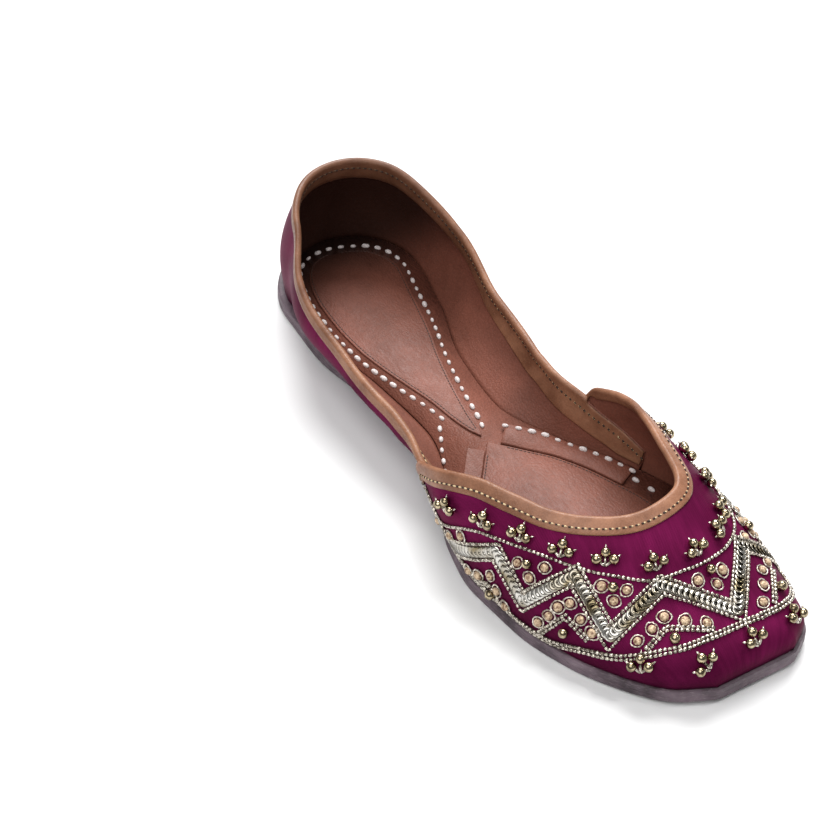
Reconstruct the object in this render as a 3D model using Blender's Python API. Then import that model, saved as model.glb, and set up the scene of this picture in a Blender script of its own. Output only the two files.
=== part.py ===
"""Mojari: a flat leather slip-on shoe with a cloth vamp and a squared toe.

Metres, +Z up, the toe towards -Y, the floor at z = 0. The upper, its bindings and the linings all
follow one function of the last, which the sizes and the short tables below work out.
"""

import math

import bpy
import bmesh
import numpy as np

# The last.
LENGTH = 0.250           # outsole, heel to toe
BALL_WIDTH = 0.0840      # outsole at its widest
TOE_SWING = 0.0170       # how far the toe lies to the inner side of the heel
MIDDLE = 0.0022          # brings the middle of the whole shoe to x = 0
HEEL_HEIGHT = 0.0470     # topline above the floor, at the back
WAIST_HEIGHT = 0.0260    # topline above the floor, beside the arch
THROAT_HEIGHT = 0.0385   # crown of the vamp above the floor, at the throat
TOE_HEIGHT = 0.0250      # crown above the floor, where the toe turns down
TOE_SPRING = 0.0022      # lift of the outsole's tip
ARCH = 0.0015            # lift of the outsole's waist
FLARE = 0.0100           # how far the topline stands out over the waist of the outsole

# Thicknesses, margins and clearances.
SOLE = 0.0050
SOLE_EDGE = 0.0012       # outsole standing out past the upper
SOLE_STEP = 0.0006       # top layer of the outsole, set back from the bottom one
WALL = 0.0020            # leather and lining of the upper
VAMP_STEP = 0.0014       # the vamp's outside over the quarter's, where it laps
INSOLE = 0.0014
STITCH_MARGIN = 0.0062   # bare rim of the insole, which carries the stitches
SOCK = 0.0009
BAND = 0.0011
BAND_WIDTH = 0.0062
BINDING = 0.0010
VAMP_STRIP = 0.0058      # binding's width outside the vamp
VAMP_TURN = 0.0050       # and inside it
QUARTER_ROLL = 0.0030    # binding's width outside the quarter
QUARTER_FACING = 0.0085  # and inside it
GAP = 0.0003
MOST_SLANT = 1.25        # level width of the slanting quarter wall, over its thickness
TOE_ROOM = 0.0016        # between the insole and the sloping walls of the toe

# Stations, as shares of the length from the heel.
HEEL_SEAT = 0.118        # length of the round of the heel
WING_END = 0.535         # rear edge of the vamp's wings
QUARTER_END = 0.64       # front edge of the quarter, inside the wings
THROAT = 0.797           # front of the opening
TOE_POLE = 0.895         # end of the crown's line, where the toe fans out
SOCK_JOINT = 0.490       # front of the heel sock

# Outline of the outsole: half widths as shares of half the ball's width, and the centre line as
# shares of the toe's swing.
OUTLINE = {
    "station": (0.00, 0.118, 0.22, 0.34, 0.44, 0.54, 0.62, 0.70, 0.78, 0.86, 0.93, 0.972, 1.00),
    "half": (0.69, 0.69, 0.645, 0.475, 0.42, 0.65, 0.885, 1.00, 1.00, 0.925, 0.775, 0.630, 0.36),
    "centre": (-0.17, -0.17, -0.31, -0.42, -0.38, -0.22, -0.08, 0.07, 0.24, 0.46, 0.70, 0.87, 0.97),
}
# Quarter: how far its topline stands out past its foot and its belly at mid height, as shares of
# the flare, and the topline's height as a share from the waist's (0) to the heel's (1).
QUARTER = {
    "station": (0.00, 0.06, 0.118, 0.20, 0.30, 0.40, 0.51, 0.58, 0.64),
    "left": (-0.70, -0.55, -0.20, 0.75, 1.20, 1.45, 1.20, 0.70, 0.45),
    "right": (-0.70, -0.55, -0.25, 0.60, 1.25, 1.55, 1.10, 0.50, 0.20),
    "belly": (0.50, 0.45, 0.35, 0.35, 0.30, 0.30, 0.30, 0.25, 0.20),
    "height": (1.00, 0.98, 0.86, 0.52, 0.18, 0.00, -0.10, -0.30, -0.55),
}
# Vamp: crown height as a share from the toe's (0) to the throat's (1), how far the side stands
# out past its foot as a share of the flare, the height of that shoulder as a share of the crown's,
# and the width of the flat crown as a share of the half width.
VAMP = {
    "station": (0.40, 0.46, 0.52, 0.58, 0.66, 0.72, 0.79, 0.84, 0.895),
    "crown": (2.60, 2.50, 2.35, 2.15, 1.85, 1.52, 1.00, 0.55, 0.00),
    "left": (2.60, 2.60, 2.50, 1.90, 0.85, 0.35, 0.20, 0.20, 0.18),
    "right": (2.10, 2.10, 1.90, 1.25, 0.45, 0.25, 0.20, 0.20, 0.18),
    "shoulder": (0.62, 0.62, 0.60, 0.60, 0.58, 0.56, 0.55, 0.55, 0.58),
    "flat": (1.35, 1.30, 1.20, 0.90, 0.60, 0.54, 0.54, 0.55, 0.55),
}
# Edge of the vamp round the opening: its distance from the centre line as a share of the half
# width. The table holds the square of that share, which turns the line round at the throat.
COLLAR = {
    "station": (0.535, 0.583, 0.612, 0.654, 0.692, 0.727, 0.756, 0.777, 0.797),
    "left": (0.593, 0.430, 0.340, 0.253, 0.203, 0.158, 0.100, 0.048, 0.0),
    "right": (0.593, 0.450, 0.385, 0.260, 0.195, 0.160, 0.126, 0.080, 0.0),
}
# Lift of the outsole: the arch's share and the toe spring's.
LIFT = {
    "station": (0.00, 0.18, 0.28, 0.38, 0.48, 0.56, 0.84, 0.92, 1.00),
    "arch": (0.0, 0.0, 0.75, 1.0, 0.75, 0.0, 0.0, 0.0, 0.0),
    "spring": (0.0, 0.0, 0.0, 0.0, 0.0, 0.0, 0.0, 0.28, 1.0),
}

# Forefoot sock: half width as a share of the room inside the upper.
FOREFOOT = {
    "station": (0.500, 0.53, 0.57, 0.63, 0.69, 0.76, 0.84, 0.90, 0.94),
    "half": (0.02, 0.34, 0.60, 0.68, 0.72, 0.78, 0.82, 0.80, 0.62),
}
BAND_START = 0.512
BAND_END = 0.655

# How finely the faceted shapes follow the curves.
HEEL_COLUMNS = 8
QUARTER_COLUMNS = ((HEEL_SEAT, 0.30, 8), (0.30, 0.46, 6), (0.46, 0.56, 7), (0.56, QUARTER_END, 3))
VAMP_COLUMNS = 56
VAMP_ROWS = 15
QUARTER_ROWS = 7
OUTLINE_STEPS = 34
FOOT_LIFT = 0.00015      # the quarter's foot above the vamp's, where they are joined
COLORS = {
    "cloth": ("#6E1546", 0.55),
    "binding": ("#B07A50", 0.50),
    "lining": ("#8E5A45", 0.60),
    "sole": ("#5A4752", 0.70),
}


SIDE = {-1: "left", 1: "right"}
FINE = np.linspace(0.0, 1.0, 4001)
READ = {}


def monotone_cubic(x, y, at):
    """Cubic through the points that never overshoots them, after Fritsch and Carlson."""
    step = np.diff(x)
    slope = np.diff(y) / step
    ends = np.zeros(len(x))
    ends[0], ends[-1] = slope[0], slope[-1]
    for i in range(1, len(x) - 1):
        if slope[i - 1] * slope[i] > 0:
            w0, w1 = 2 * step[i] + step[i - 1], step[i] + 2 * step[i - 1]
            ends[i] = (w0 + w1) / (w0 / slope[i - 1] + w1 / slope[i])
    at = np.clip(at, x[0], x[-1])
    i = np.clip(np.searchsorted(x, at, side="right") - 1, 0, len(step) - 1)
    t = (at - x[i]) / step[i]
    return (
        (1 + 2 * t) * (1 - t) ** 2 * y[i]
        + t * (1 - t) ** 2 * step[i] * ends[i]
        + t * t * (3 - 2 * t) * y[i + 1]
        - t * t * (1 - t) * step[i] * ends[i + 1]
    )


def smooth(table, column, at):
    """One column of a table as a smooth curve, read at a station or an array of them."""
    key = (id(table), column)
    if key not in READ:
        READ[key] = monotone_cubic(np.array(table["station"]), np.array(table[column]), FINE)
    return np.interp(at, FINE, READ[key])


def ramp(value, low, high):
    t = np.clip((value - low) / (high - low), 0.0, 1.0)
    return t * t * (3 - 2 * t)


def y_of(station):
    return LENGTH / 2 - station * LENGTH


def station_of(y):
    return (LENGTH / 2 - y) / LENGTH


def centre(station):
    return TOE_SWING * smooth(OUTLINE, "centre", np.maximum(station, HEEL_SEAT)) - MIDDLE


def half(station):
    return BALL_WIDTH / 2 * smooth(OUTLINE, "half", station)


def lift(y):
    """Height of the outsole's underside above the floor."""
    station = station_of(y)
    return ARCH * smooth(LIFT, "arch", station) + TOE_SPRING * smooth(LIFT, "spring", station)


def seat(y):
    """Height where the upper and the insole stand on the outsole."""
    return lift(y) + SOLE + GAP


def side_outline(side, inset):
    """Points (x, y, station) down one side of the outline, heel to the middle of the toe."""
    turn = np.linspace(0.0, math.pi / 2, 16)
    radius = half(HEEL_SEAT)
    x = centre(HEEL_SEAT) + side * radius * np.sin(turn)
    y = y_of(HEEL_SEAT) + HEEL_SEAT * LENGTH * np.cos(turn)
    along = np.linspace(HEEL_SEAT, 1.0, 160)[1:]
    x = np.concatenate([x, centre(along) + side * half(along)])
    y = np.concatenate([y, y_of(along)])
    across = np.linspace(1.0, 0.0, 24)[1:]
    x = np.concatenate([x, centre(1.0) + side * half(1.0) * across])
    y = np.concatenate([y, np.full(len(across), y_of(1.0))])
    dx, dy = np.gradient(x), np.gradient(y)
    size = np.hypot(dx, dy)
    normal = side * np.stack([-dy, dx], axis=1) / size[:, None]
    normal[0], normal[-1] = (0.0, 1.0), (0.0, -1.0)
    spots = np.stack([x, y], axis=1) - inset * normal
    spots[0, 0], spots[-1, 0] = centre(HEEL_SEAT), centre(1.0)
    return spots


def resampled(spots, shares):
    """Points at the given shares of a line's length."""
    far = np.concatenate([[0.0], np.cumsum(np.linalg.norm(np.diff(spots, axis=0), axis=1))])
    return np.stack(
        [np.interp(np.asarray(shares) * far[-1], far, spots[:, k]) for k in range(spots.shape[1])],
        axis=1,
    )


FOOT_INSET = SOLE_EDGE + VAMP_STEP
FEET = {side: side_outline(side, FOOT_INSET) for side in (-1, 1)}
POLE = np.array([float(centre(TOE_POLE)), y_of(TOE_POLE)])


def foot_half(side, y):
    """Half width of the last's foot at y, from the centre line."""
    line = FEET[side][::-1]
    return side * (np.interp(y, line[24:, 1], line[24:, 0]) - centre(station_of(y)))


def fan_table():
    """Direction and length of each line from the toe's pole to the foot of the toe."""
    rows = []
    for side in (-1, 1):
        for x, y in FEET[side]:
            if y < POLE[1]:
                rows.append((math.atan2(x - POLE[0], POLE[1] - y), math.hypot(x - POLE[0], y - POLE[1])))
    rows.append((-math.pi / 2, float(foot_half(-1, POLE[1]))))
    rows.append((math.pi / 2, float(foot_half(1, POLE[1]))))
    return np.array(sorted(rows)).T


FAN_TURN, FAN_REACH = fan_table()
CROWN_FALL = 0.001


def crown(station):
    return TOE_HEIGHT + (THROAT_HEIGHT - TOE_HEIGHT) * smooth(VAMP, "crown", station)


def arch_over(foot, inward, reach, station, slope, share):
    """One point of the last's section, from its foot (share 0) over to the crown (1)."""
    left, right = smooth(VAMP, "left", station), smooth(VAMP, "right", station)
    base = seat(foot[1])
    rise = crown(station) - base
    out = FLARE * (left + (right - left) * (1 - inward[0]) / 2)
    handle = smooth(VAMP, "flat", station) * reach
    depth = (0.0, -out, reach - handle, reach)
    height = (0.0, smooth(VAMP, "shoulder", station) * rise, rise - slope * handle, rise)
    weight = ((1 - share) ** 3, 3 * share * (1 - share) ** 2, 3 * share**2 * (1 - share), share**3)
    along = sum(w * d for w, d in zip(weight, depth))
    up = sum(w * h for w, h in zip(weight, height))
    return np.array([foot[0] + inward[0] * along, foot[1] + inward[1] * along, base + up])


def last(spot):
    """Lifts a spot of the foot's flat outline onto the last."""
    x, y = float(spot[0]), float(spot[1])
    if y >= POLE[1]:
        station = station_of(y)
        middle = float(centre(station))
        side = 1 if x >= middle else -1
        reach = float(foot_half(side, y))
        share = 1 - abs(x - middle) / reach
        return arch_over((middle + side * reach, y), (-side, 0.0), reach, station, 0.0, share)
    away = np.array([x, y]) - POLE
    size = max(float(np.hypot(*away)), 1e-9)
    turn = math.atan2(away[0], -away[1])
    reach = float(np.interp(turn, FAN_TURN, FAN_REACH))
    outward = away / size
    fall = (crown(TOE_POLE - CROWN_FALL) - crown(TOE_POLE)) / (CROWN_FALL * LENGTH)
    slope = fall * max(-outward[1], 0.0)
    foot = POLE + outward * reach
    return arch_over(foot, -outward, reach, TOE_POLE, slope, 1 - size / reach)


def last_normal(spot):
    """Outward direction of the last over a flat spot."""
    step = 0.0002
    x, y = spot
    across = last((x + step, y)) - last((x - step, y))
    along = last((x, y + step)) - last((x, y - step))
    normal = np.cross(across, along)
    return normal / np.linalg.norm(normal)


def collar_spot(side, station):
    """Flat spot of the vamp's edge on one side of the opening."""
    y = y_of(station)
    wide = float(foot_half(side, y)) * math.sqrt(float(smooth(COLLAR, SIDE[side], station)))
    return (float(centre(station)) + side * wide, y)


def collar_line():
    """Flat spots of the vamp's edge, from the left wing's end round the throat to the right one."""
    stations = WING_END + (THROAT - WING_END) * np.sin(np.linspace(0.0, math.pi / 2, 60))
    left = [collar_spot(-1, station) for station in stations]
    right = [collar_spot(1, station) for station in stations]
    return np.array(left + right[-2::-1])


def topline_height(station):
    return WAIST_HEIGHT + (HEEL_HEIGHT - WAIST_HEIGHT) * smooth(QUARTER, "height", station)


def quarter_foot(station, side):
    """Foot of the quarter at a station, and the level direction in which its wall leans out."""
    if station < HEEL_SEAT:
        turn = math.acos(1 - station / HEEL_SEAT)
        deep = HEEL_SEAT * LENGTH
        wide = float(half(HEEL_SEAT))
        normal = np.array([side * deep * math.sin(turn), wide * math.cos(turn)])
        normal /= np.linalg.norm(normal)
        spot = (
            float(centre(HEEL_SEAT)) + side * wide * math.sin(turn),
            y_of(HEEL_SEAT) + deep * math.cos(turn),
        )
        return np.array(spot) - FOOT_INSET * normal, normal
    y = y_of(station)
    return (
        np.array([float(centre(station)) + side * float(foot_half(side, y)), y]),
        np.array([float(side), 0.0]),
    )


def quarter_lean(station, side, height):
    """How far the quarter's outer face stands out past its foot at a height above the floor."""
    foot, _ = quarter_foot(station, side)
    base, top = float(seat(foot[1])), float(topline_height(station))
    level = np.clip((height - base) / (top - base), 0.0, 1.1)
    own = FLARE * (
        smooth(QUARTER, SIDE[side], station) * np.sin(np.minimum(level, 1.0) * math.pi / 2)
        + smooth(QUARTER, "belly", station) * np.sin(np.minimum(level, 1.0) * math.pi)
    )
    blend = float(ramp(station, WING_END - 0.08, WING_END + 0.005))
    if blend == 0.0:
        return float(own)
    y = y_of(station)
    reach = float(foot_half(side, y))
    shares = np.linspace(0.0, 0.8, 40)
    arc = [arch_over((0.0, y), (-side, 0.0), reach, station, 0.0, share) for share in shares]
    under = float(np.interp(height, [p[2] for p in arc], [side * p[0] for p in arc]))
    return float(own) * (1 - blend) + under * blend


def quarter_point(station, side, depth, height):
    """A point this far inside (or, negative, outside) the quarter's outer face."""
    foot, outward = quarter_foot(station, side)
    top = float(topline_height(station))
    base = float(seat(foot[1]))
    level = min(max(height, base), top)
    step = 0.0004
    low, high = max(level - step, base), min(level + step, top)
    rate = (quarter_lean(station, side, high) - quarter_lean(station, side, low)) / (high - low)
    away = quarter_lean(station, side, level) - depth * min(math.hypot(1.0, rate), MOST_SLANT)
    return (foot[0] + outward[0] * away, foot[1] + outward[1] * away, height)


def material(name):
    """Plain finish in one of the shoe's colours."""
    if name in bpy.data.materials:
        return bpy.data.materials[name]
    code, roughness = COLORS[name]
    channels = [int(code[i:i + 2], 16) / 255 for i in (1, 3, 5)]
    linear = [c / 12.92 if c <= 0.04045 else ((c + 0.055) / 1.055) ** 2.4 for c in channels]
    made = bpy.data.materials.new(name)
    made.use_nodes = True
    shader = made.node_tree.nodes["Principled BSDF"]
    shader.inputs["Base Color"].default_value = (*linear, 1.0)
    shader.inputs["Roughness"].default_value = roughness
    shader.inputs["Metallic"].default_value = 0.0
    return made


def make_object(name, mesh_data, finish, collection):
    mesh = bpy.data.meshes.new(name)
    mesh_data.to_mesh(mesh)
    mesh_data.free()
    mesh.shade_smooth()
    made = bpy.data.objects.new(name, mesh)
    if finish:
        mesh.materials.append(material(finish))
    collection.objects.link(made)
    return made


def loft(name, loops, finish, collection):
    """Closed solid through section loops with equal counts of points, capped at both ends."""
    shape = bmesh.new()
    rings = [[shape.verts.new(p) for p in loop] for loop in loops]
    count = len(rings[0])
    for a, b in zip(rings, rings[1:]):
        for i in range(count):
            j = (i + 1) % count
            shape.faces.new((a[i], a[j], b[j], b[i]))
    shape.faces.new(rings[0][::-1])
    shape.faces.new(rings[-1])
    bmesh.ops.recalc_face_normals(shape, faces=shape.faces)
    return make_object(name, shape, finish, collection)


def set_back(line, middle, amount):
    """A side line moved in towards the middle line; a shared end moves along the middle."""
    moved = []
    for i, spot in enumerate(line):
        inner = middle[i]
        if np.allclose(spot, inner):
            inner = middle[1] if i == 0 else middle[-2]
        away = spot - inner
        moved.append(inner + away * (1 - amount / np.linalg.norm(away)))
    return np.array(moved)


def layer(name, left, right, low, high, rim, finish, collection):
    """Flat layer between two side lines; the rim's rows are (set back, share of the thickness)."""
    shape = bmesh.new()
    middle = (left + right) / 2
    rows = []
    for back, share in rim:
        sides = []
        for line in (left, right):
            spots = set_back(line, middle, back)
            heights = [low(y) + (high(y) - low(y)) * share for _, y in spots]
            sides.append([(x, y, z) for (x, y), z in zip(spots, heights)])
        lefts = [shape.verts.new(p) for p in sides[0]]
        rights = [
            a if np.allclose(p, q) else shape.verts.new(q)
            for a, p, q in zip(lefts, sides[0], sides[1])
        ]
        rows.append((lefts, rights))
    rings = [a + [vert for vert in reversed(b) if vert not in a] for a, b in rows]
    count = len(rings[0])
    for a, b in zip(rings, rings[1:]):
        for i in range(count):
            j = (i + 1) % count
            shape.faces.new((a[i], a[j], b[j], b[i]))
    for lefts, rights in (rows[0], rows[-1]):
        for i in range(len(lefts) - 1):
            corners = []
            for vert in (lefts[i], lefts[i + 1], rights[i + 1], rights[i]):
                if vert not in corners:
                    corners.append(vert)
            shape.faces.new(corners)
    bmesh.ops.recalc_face_normals(shape, faces=shape.faces)
    return make_object(name, shape, finish, collection)


def whole_outline(inset, steps):
    """Left and right side lines from the middle of the heel to the middle of the toe."""
    shares = np.linspace(0.0, 1.0, steps)
    return resampled(side_outline(-1, inset), shares), resampled(side_outline(1, inset), shares)


def build_outsole(collection):
    left, right = whole_outline(0.0, OUTLINE_STEPS)
    rim = ((0.0008, 0.0), (0.0, 0.16), (0.0, 0.72), (SOLE_STEP, 0.80), (SOLE_STEP, 1.0))
    layer("outsole", left, right, lift, lambda y: lift(y) + SOLE, rim, "sole", collection)


def inner_inset(station):
    """Inset of the insole's edge: inside the quarter's wall, then inside the vamp's."""
    inside_quarter = FOOT_INSET + WALL * MOST_SLANT + GAP
    inside_vamp = SOLE_EDGE + WALL + TOE_ROOM
    share = ramp(station, QUARTER_END + 0.005, QUARTER_END + 0.04)
    return inside_quarter + (inside_vamp - inside_quarter) * share


def inner_side(side, margin, end, steps):
    """Side line of a layer inside the upper, from the heel to a station."""
    wide, narrow = side_outline(side, 0.0), side_outline(side, 0.001)
    inward = (narrow - wide) / 0.001
    stations = station_of(wide[:, 1])
    back = inner_inset(stations) + margin(stations)
    spots = wide + inward * back[:, None]
    spots[0, 0], spots[-1, 0] = wide[0, 0], wide[-1, 0]
    keep = spots[spots[:, 1] >= y_of(end)]
    return resampled(keep, np.linspace(0.0, 1.0, steps))


def insole_top(y):
    return seat(y) + INSOLE


def lining_floor(y):
    return insole_top(y) + GAP


def build_insole(collection):
    whole = [inner_side(side, lambda s: 0.0 * s, 1.1, OUTLINE_STEPS) for side in (-1, 1)]
    rim = ((0.0, 0.0), (0.0, 1.0))
    layer("insole", *whole, seat, insole_top, rim, "lining", collection)


def sock_margin(station):
    """Bare rim beside the heel sock, wider where the sock narrows to its tongue."""
    return STITCH_MARGIN * (1 + 0.75 * ramp(station, 0.26, SOCK_JOINT - 0.03))


def build_heel_sock(collection):
    sides = [inner_side(side, sock_margin, SOCK_JOINT, 24) for side in (-1, 1)]
    rim = ((0.0, 0.0), (0.0, 0.55), (0.0005, 1.0))
    top = lambda y: lining_floor(y) + SOCK
    layer("heel_sock", *sides, lining_floor, top, rim, "lining", collection)


def sock_edge(side, stations):
    """Side line of the forefoot sock: a wedge at the rear, then along the insole's edge."""
    spots = []
    for station in stations:
        room = float(foot_half(side, y_of(station))) + FOOT_INSET - float(inner_inset(station))
        wide = room * float(smooth(FOREFOOT, "half", station))
        spots.append((float(centre(station)) + side * wide, y_of(station)))
    return np.array(spots)


def build_forefoot_sock(collection):
    stations = np.linspace(FOREFOOT["station"][0], FOREFOOT["station"][-1], 18)
    rim = ((0.0, 0.0), (0.0, 0.55), (0.0005, 1.0))
    top = lambda y: lining_floor(y) + SOCK
    sides = [sock_edge(side, stations) for side in (-1, 1)]
    layer("forefoot_sock", *sides, lining_floor, top, rim, "lining", collection)


def build_band(name, side, collection):
    """Stitched strip along the wedge of the forefoot sock."""
    edge = sock_edge(side, np.linspace(BAND_START, BAND_END, 9))
    along = np.gradient(edge, axis=0)
    along /= np.linalg.norm(along, axis=1)[:, None]
    outward = side * np.stack([-along[:, 1], along[:, 0]], axis=1)
    near = edge + outward * GAP
    far = near + outward * BAND_WIDTH
    rim = ((0.0, 0.0), (0.0, 0.6), (0.0004, 1.0))
    top = lambda y: lining_floor(y) + BAND
    layer(name, near, far, lining_floor, top, rim, "lining", collection)


def quarter_stations():
    """(station, side) from the left front end round the heel to the right front end."""
    turns = np.linspace(0.0, math.pi / 2, HEEL_COLUMNS + 1)
    half_way = [HEEL_SEAT * (1 - math.cos(turn)) for turn in turns]
    for start, end, count in QUARTER_COLUMNS:
        half_way += list(np.linspace(start, end, count)[1:])
    return [(s, -1) for s in reversed(half_way[1:])] + [(s, 1) for s in half_way]


def quarter_loop(station, side):
    """Section of the quarter's wall; inside the wings its foot stops just short of the vamp's."""
    foot, _ = quarter_foot(station, side)
    base, top = float(seat(foot[1])), float(topline_height(station))
    base += FOOT_LIFT * float(ramp(station, WING_END - 0.03, WING_END - 0.01))
    levels = base + (top - base) * np.linspace(0.0, 1.0, QUARTER_ROWS + 1)
    outer = [quarter_point(station, side, 0.0, z) for z in levels]
    inner = [quarter_point(station, side, WALL, z) for z in reversed(levels)]
    return outer + inner


def vamp_lines():
    """Flat lines of the vamp from its edge at the opening to its foot, left wing to right wing."""
    edge = collar_line()
    lifted = np.array([last(spot) for spot in edge])
    far = np.concatenate([[0.0], np.cumsum(np.linalg.norm(np.diff(lifted, axis=0), axis=1))])
    shares = np.linspace(0.0, far[-1], VAMP_COLUMNS + 1)
    edge = np.stack([np.interp(shares, far, edge[:, k]) for k in (0, 1)], axis=1)
    y_rear = y_of(WING_END)
    left = FEET[-1][FEET[-1][:, 1] < y_rear]
    right = FEET[1][FEET[1][:, 1] < y_rear]
    rear = [(float(centre(WING_END)) + side * float(foot_half(side, y_rear)), y_rear) for side in (-1, 1)]
    foot = np.vstack([[rear[0]], left, right[-2::-1], [rear[1]]])
    return edge, resampled(foot, np.linspace(0.0, 1.0, VAMP_COLUMNS + 1))


def vamp_loop(edge, foot):
    """Section of the vamp's wall from its edge at the opening to its foot, square on the outsole."""
    outer, inner = [], []
    for share in np.linspace(0.0, 1.0, VAMP_ROWS + 1)[:-1]:
        spot = edge + (foot - edge) * share
        place, normal = last(spot), last_normal(spot)
        outer.append(place + normal * VAMP_STEP)
        inner.append(place - normal * (WALL - VAMP_STEP))
    level = last_normal(edge + (foot - edge) * 0.995)
    level[2] = 0.0
    level /= np.linalg.norm(level)
    for line, out in ((outer, VAMP_STEP), (inner, VAMP_STEP - WALL)):
        x, y = foot + level[:2] * out
        line.append(np.array([x, y, float(seat(y))]))
    return outer + inner[::-1]


def build_upper(collection, helpers):
    """One hollow shell: the vamp lapped over the quarter."""
    quarter = loft("quarter_wall", [quarter_loop(*s) for s in quarter_stations()], None, helpers)
    quarter.hide_render = True
    quarter.display_type = "WIRE"
    edge, foot = vamp_lines()
    upper = loft("upper", [vamp_loop(a, b) for a, b in zip(edge, foot)], "cloth", collection)
    joined = upper.modifiers.new("quarter", "BOOLEAN")
    joined.operation = "UNION"
    joined.solver = "EXACT"
    joined.object = quarter


def wrap(along, off):
    """A spot on a strip folded over a wall's edge, from its outer end (negative) over the edge.

    Returns the distance down from the edge and the distance out from the middle of the wall."""
    radius = WALL / 2 + GAP + BINDING / 2
    bend = math.pi * radius
    if along < 0:
        return -along, radius + off
    if along < bend:
        turn = along / radius
        return -(radius + off) * math.sin(turn), (radius + off) * math.cos(turn)
    return along - bend, -(radius + off)


BEND = math.pi * (WALL / 2 + GAP + BINDING / 2)


def strip_loop(runs, place):
    """Section of a folded strip: its outer face along the runs, then back along its inner face."""
    outer = [place(*wrap(run, BINDING / 2)) for run in runs]
    inner = [place(*wrap(run, -BINDING / 2)) for run in reversed(runs)]
    return outer + inner


def binding_runs(outside, inside):
    """Runs along a folded strip that its facets end at."""
    over = [BEND * share for share in (0.0, 0.25, 0.5, 0.75, 1.0)]
    return [-outside, -outside / 2] + over + [BEND + inside / 2, BEND + inside]


def build_quarter_binding(collection):
    """Rolled strip on the topline; inside the wings only its inner leaf goes on."""
    fold_end, fold_start = WING_END - 0.006, WING_END - 0.026
    fold = list(np.linspace(fold_start, fold_end, 10))
    stations = [s for s, side in quarter_stations() if side == 1]
    rear = [s for s in stations if s < fold_start - 0.008]
    front = [s for s in stations if s > fold_end + 0.008]
    stations = rear + fold + front
    loops = []
    for station, side in [(s, -1) for s in reversed(stations[1:])] + [(s, 1) for s in stations]:
        share = np.clip((station - fold_start) / (fold_end - fold_start), 0.0, 1.0)
        top = float(topline_height(station))
        inside = min(QUARTER_FACING, top - float(lining_floor(y_of(station))) - BAND - 2 * GAP)
        whole = np.array(binding_runs(QUARTER_ROLL, inside))
        leaf = BEND + inside * np.linspace(0.0, 1.0, len(whole))
        runs = whole + (leaf - whole) * share

        def place(down, out):
            return quarter_point(station, side, WALL / 2 - out, top - down)

        loops.append(strip_loop(list(runs), place))
    loft("quarter_binding", loops, "binding", collection)


def walked(spot, heading, distance):
    """Walks over the last from a flat spot; gives the new flat spot, its place and its normal."""
    spot = np.array(spot, dtype=float)
    pace = 0.0008
    steps = max(int(math.ceil(abs(distance) / pace)), 1)
    for _ in range(steps):
        normal = last_normal(spot)
        heading = heading - normal * float(heading @ normal)
        heading /= np.linalg.norm(heading)
        probe = 0.0002
        across = (last(spot + (probe, 0)) - last(spot - (probe, 0))) / (2 * probe)
        along = (last(spot + (0, probe)) - last(spot - (0, probe))) / (2 * probe)
        move = np.linalg.lstsq(np.stack([across, along], axis=1), heading * distance / steps, rcond=None)
        spot = spot + move[0]
    return last(spot), last_normal(spot)


def build_vamp_binding(collection):
    """Strip folded over the vamp's edge, wing to wing round the throat."""
    edge, _ = vamp_lines()
    lifted = np.array([last(spot) for spot in edge])
    tangents = np.gradient(lifted, axis=0)
    loops = []
    for spot, place_3d, tangent in zip(edge, lifted, tangents):
        normal = last_normal(spot)
        heading = np.cross(normal, tangent)
        heading /= np.linalg.norm(heading)
        if heading[1] > 0 and abs(heading[1]) > abs(heading[2]) or heading[2] > 0:
            heading = -heading
        station = station_of(spot[1])
        room = float(place_3d[2] - topline_height(station)) - BINDING - 3 * GAP
        if station > QUARTER_END:
            room = VAMP_TURN
        inside = min(max(room, GAP), VAMP_TURN)
        middle = VAMP_STEP - WALL / 2

        def place(down, out):
            if down <= 0:
                return place_3d + heading * down + normal * (middle + out)
            base, up = walked(spot, heading, down)
            return base + up * (middle + out)

        loops.append(strip_loop(binding_runs(VAMP_STRIP, inside), place))
    loft("vamp_binding", loops, "binding", collection)


def main():
    for old in list(bpy.data.objects):
        bpy.data.objects.remove(old, do_unlink=True)
    collection = bpy.data.collections.new("mojari")
    helpers = bpy.data.collections.new("cutters")
    for made in (collection, helpers):
        bpy.context.scene.collection.children.link(made)
    build_outsole(collection)
    build_insole(collection)
    build_heel_sock(collection)
    build_forefoot_sock(collection)
    build_band("left_band", -1, collection)
    build_band("right_band", 1, collection)
    build_upper(collection, helpers)
    build_quarter_binding(collection)
    build_vamp_binding(collection)


main()
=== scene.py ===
"""One mojari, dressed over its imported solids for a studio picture.

Metres, +Z up, the toe towards -Y, the floor at z = 0. The sections follow the shoe as it is made:
sole, insole, sock linings, upper, bindings, and then the embroidery on the vamp.
"""

import math

import bmesh
import bpy
import numpy as np
from mathutils import Matrix, Vector


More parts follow.
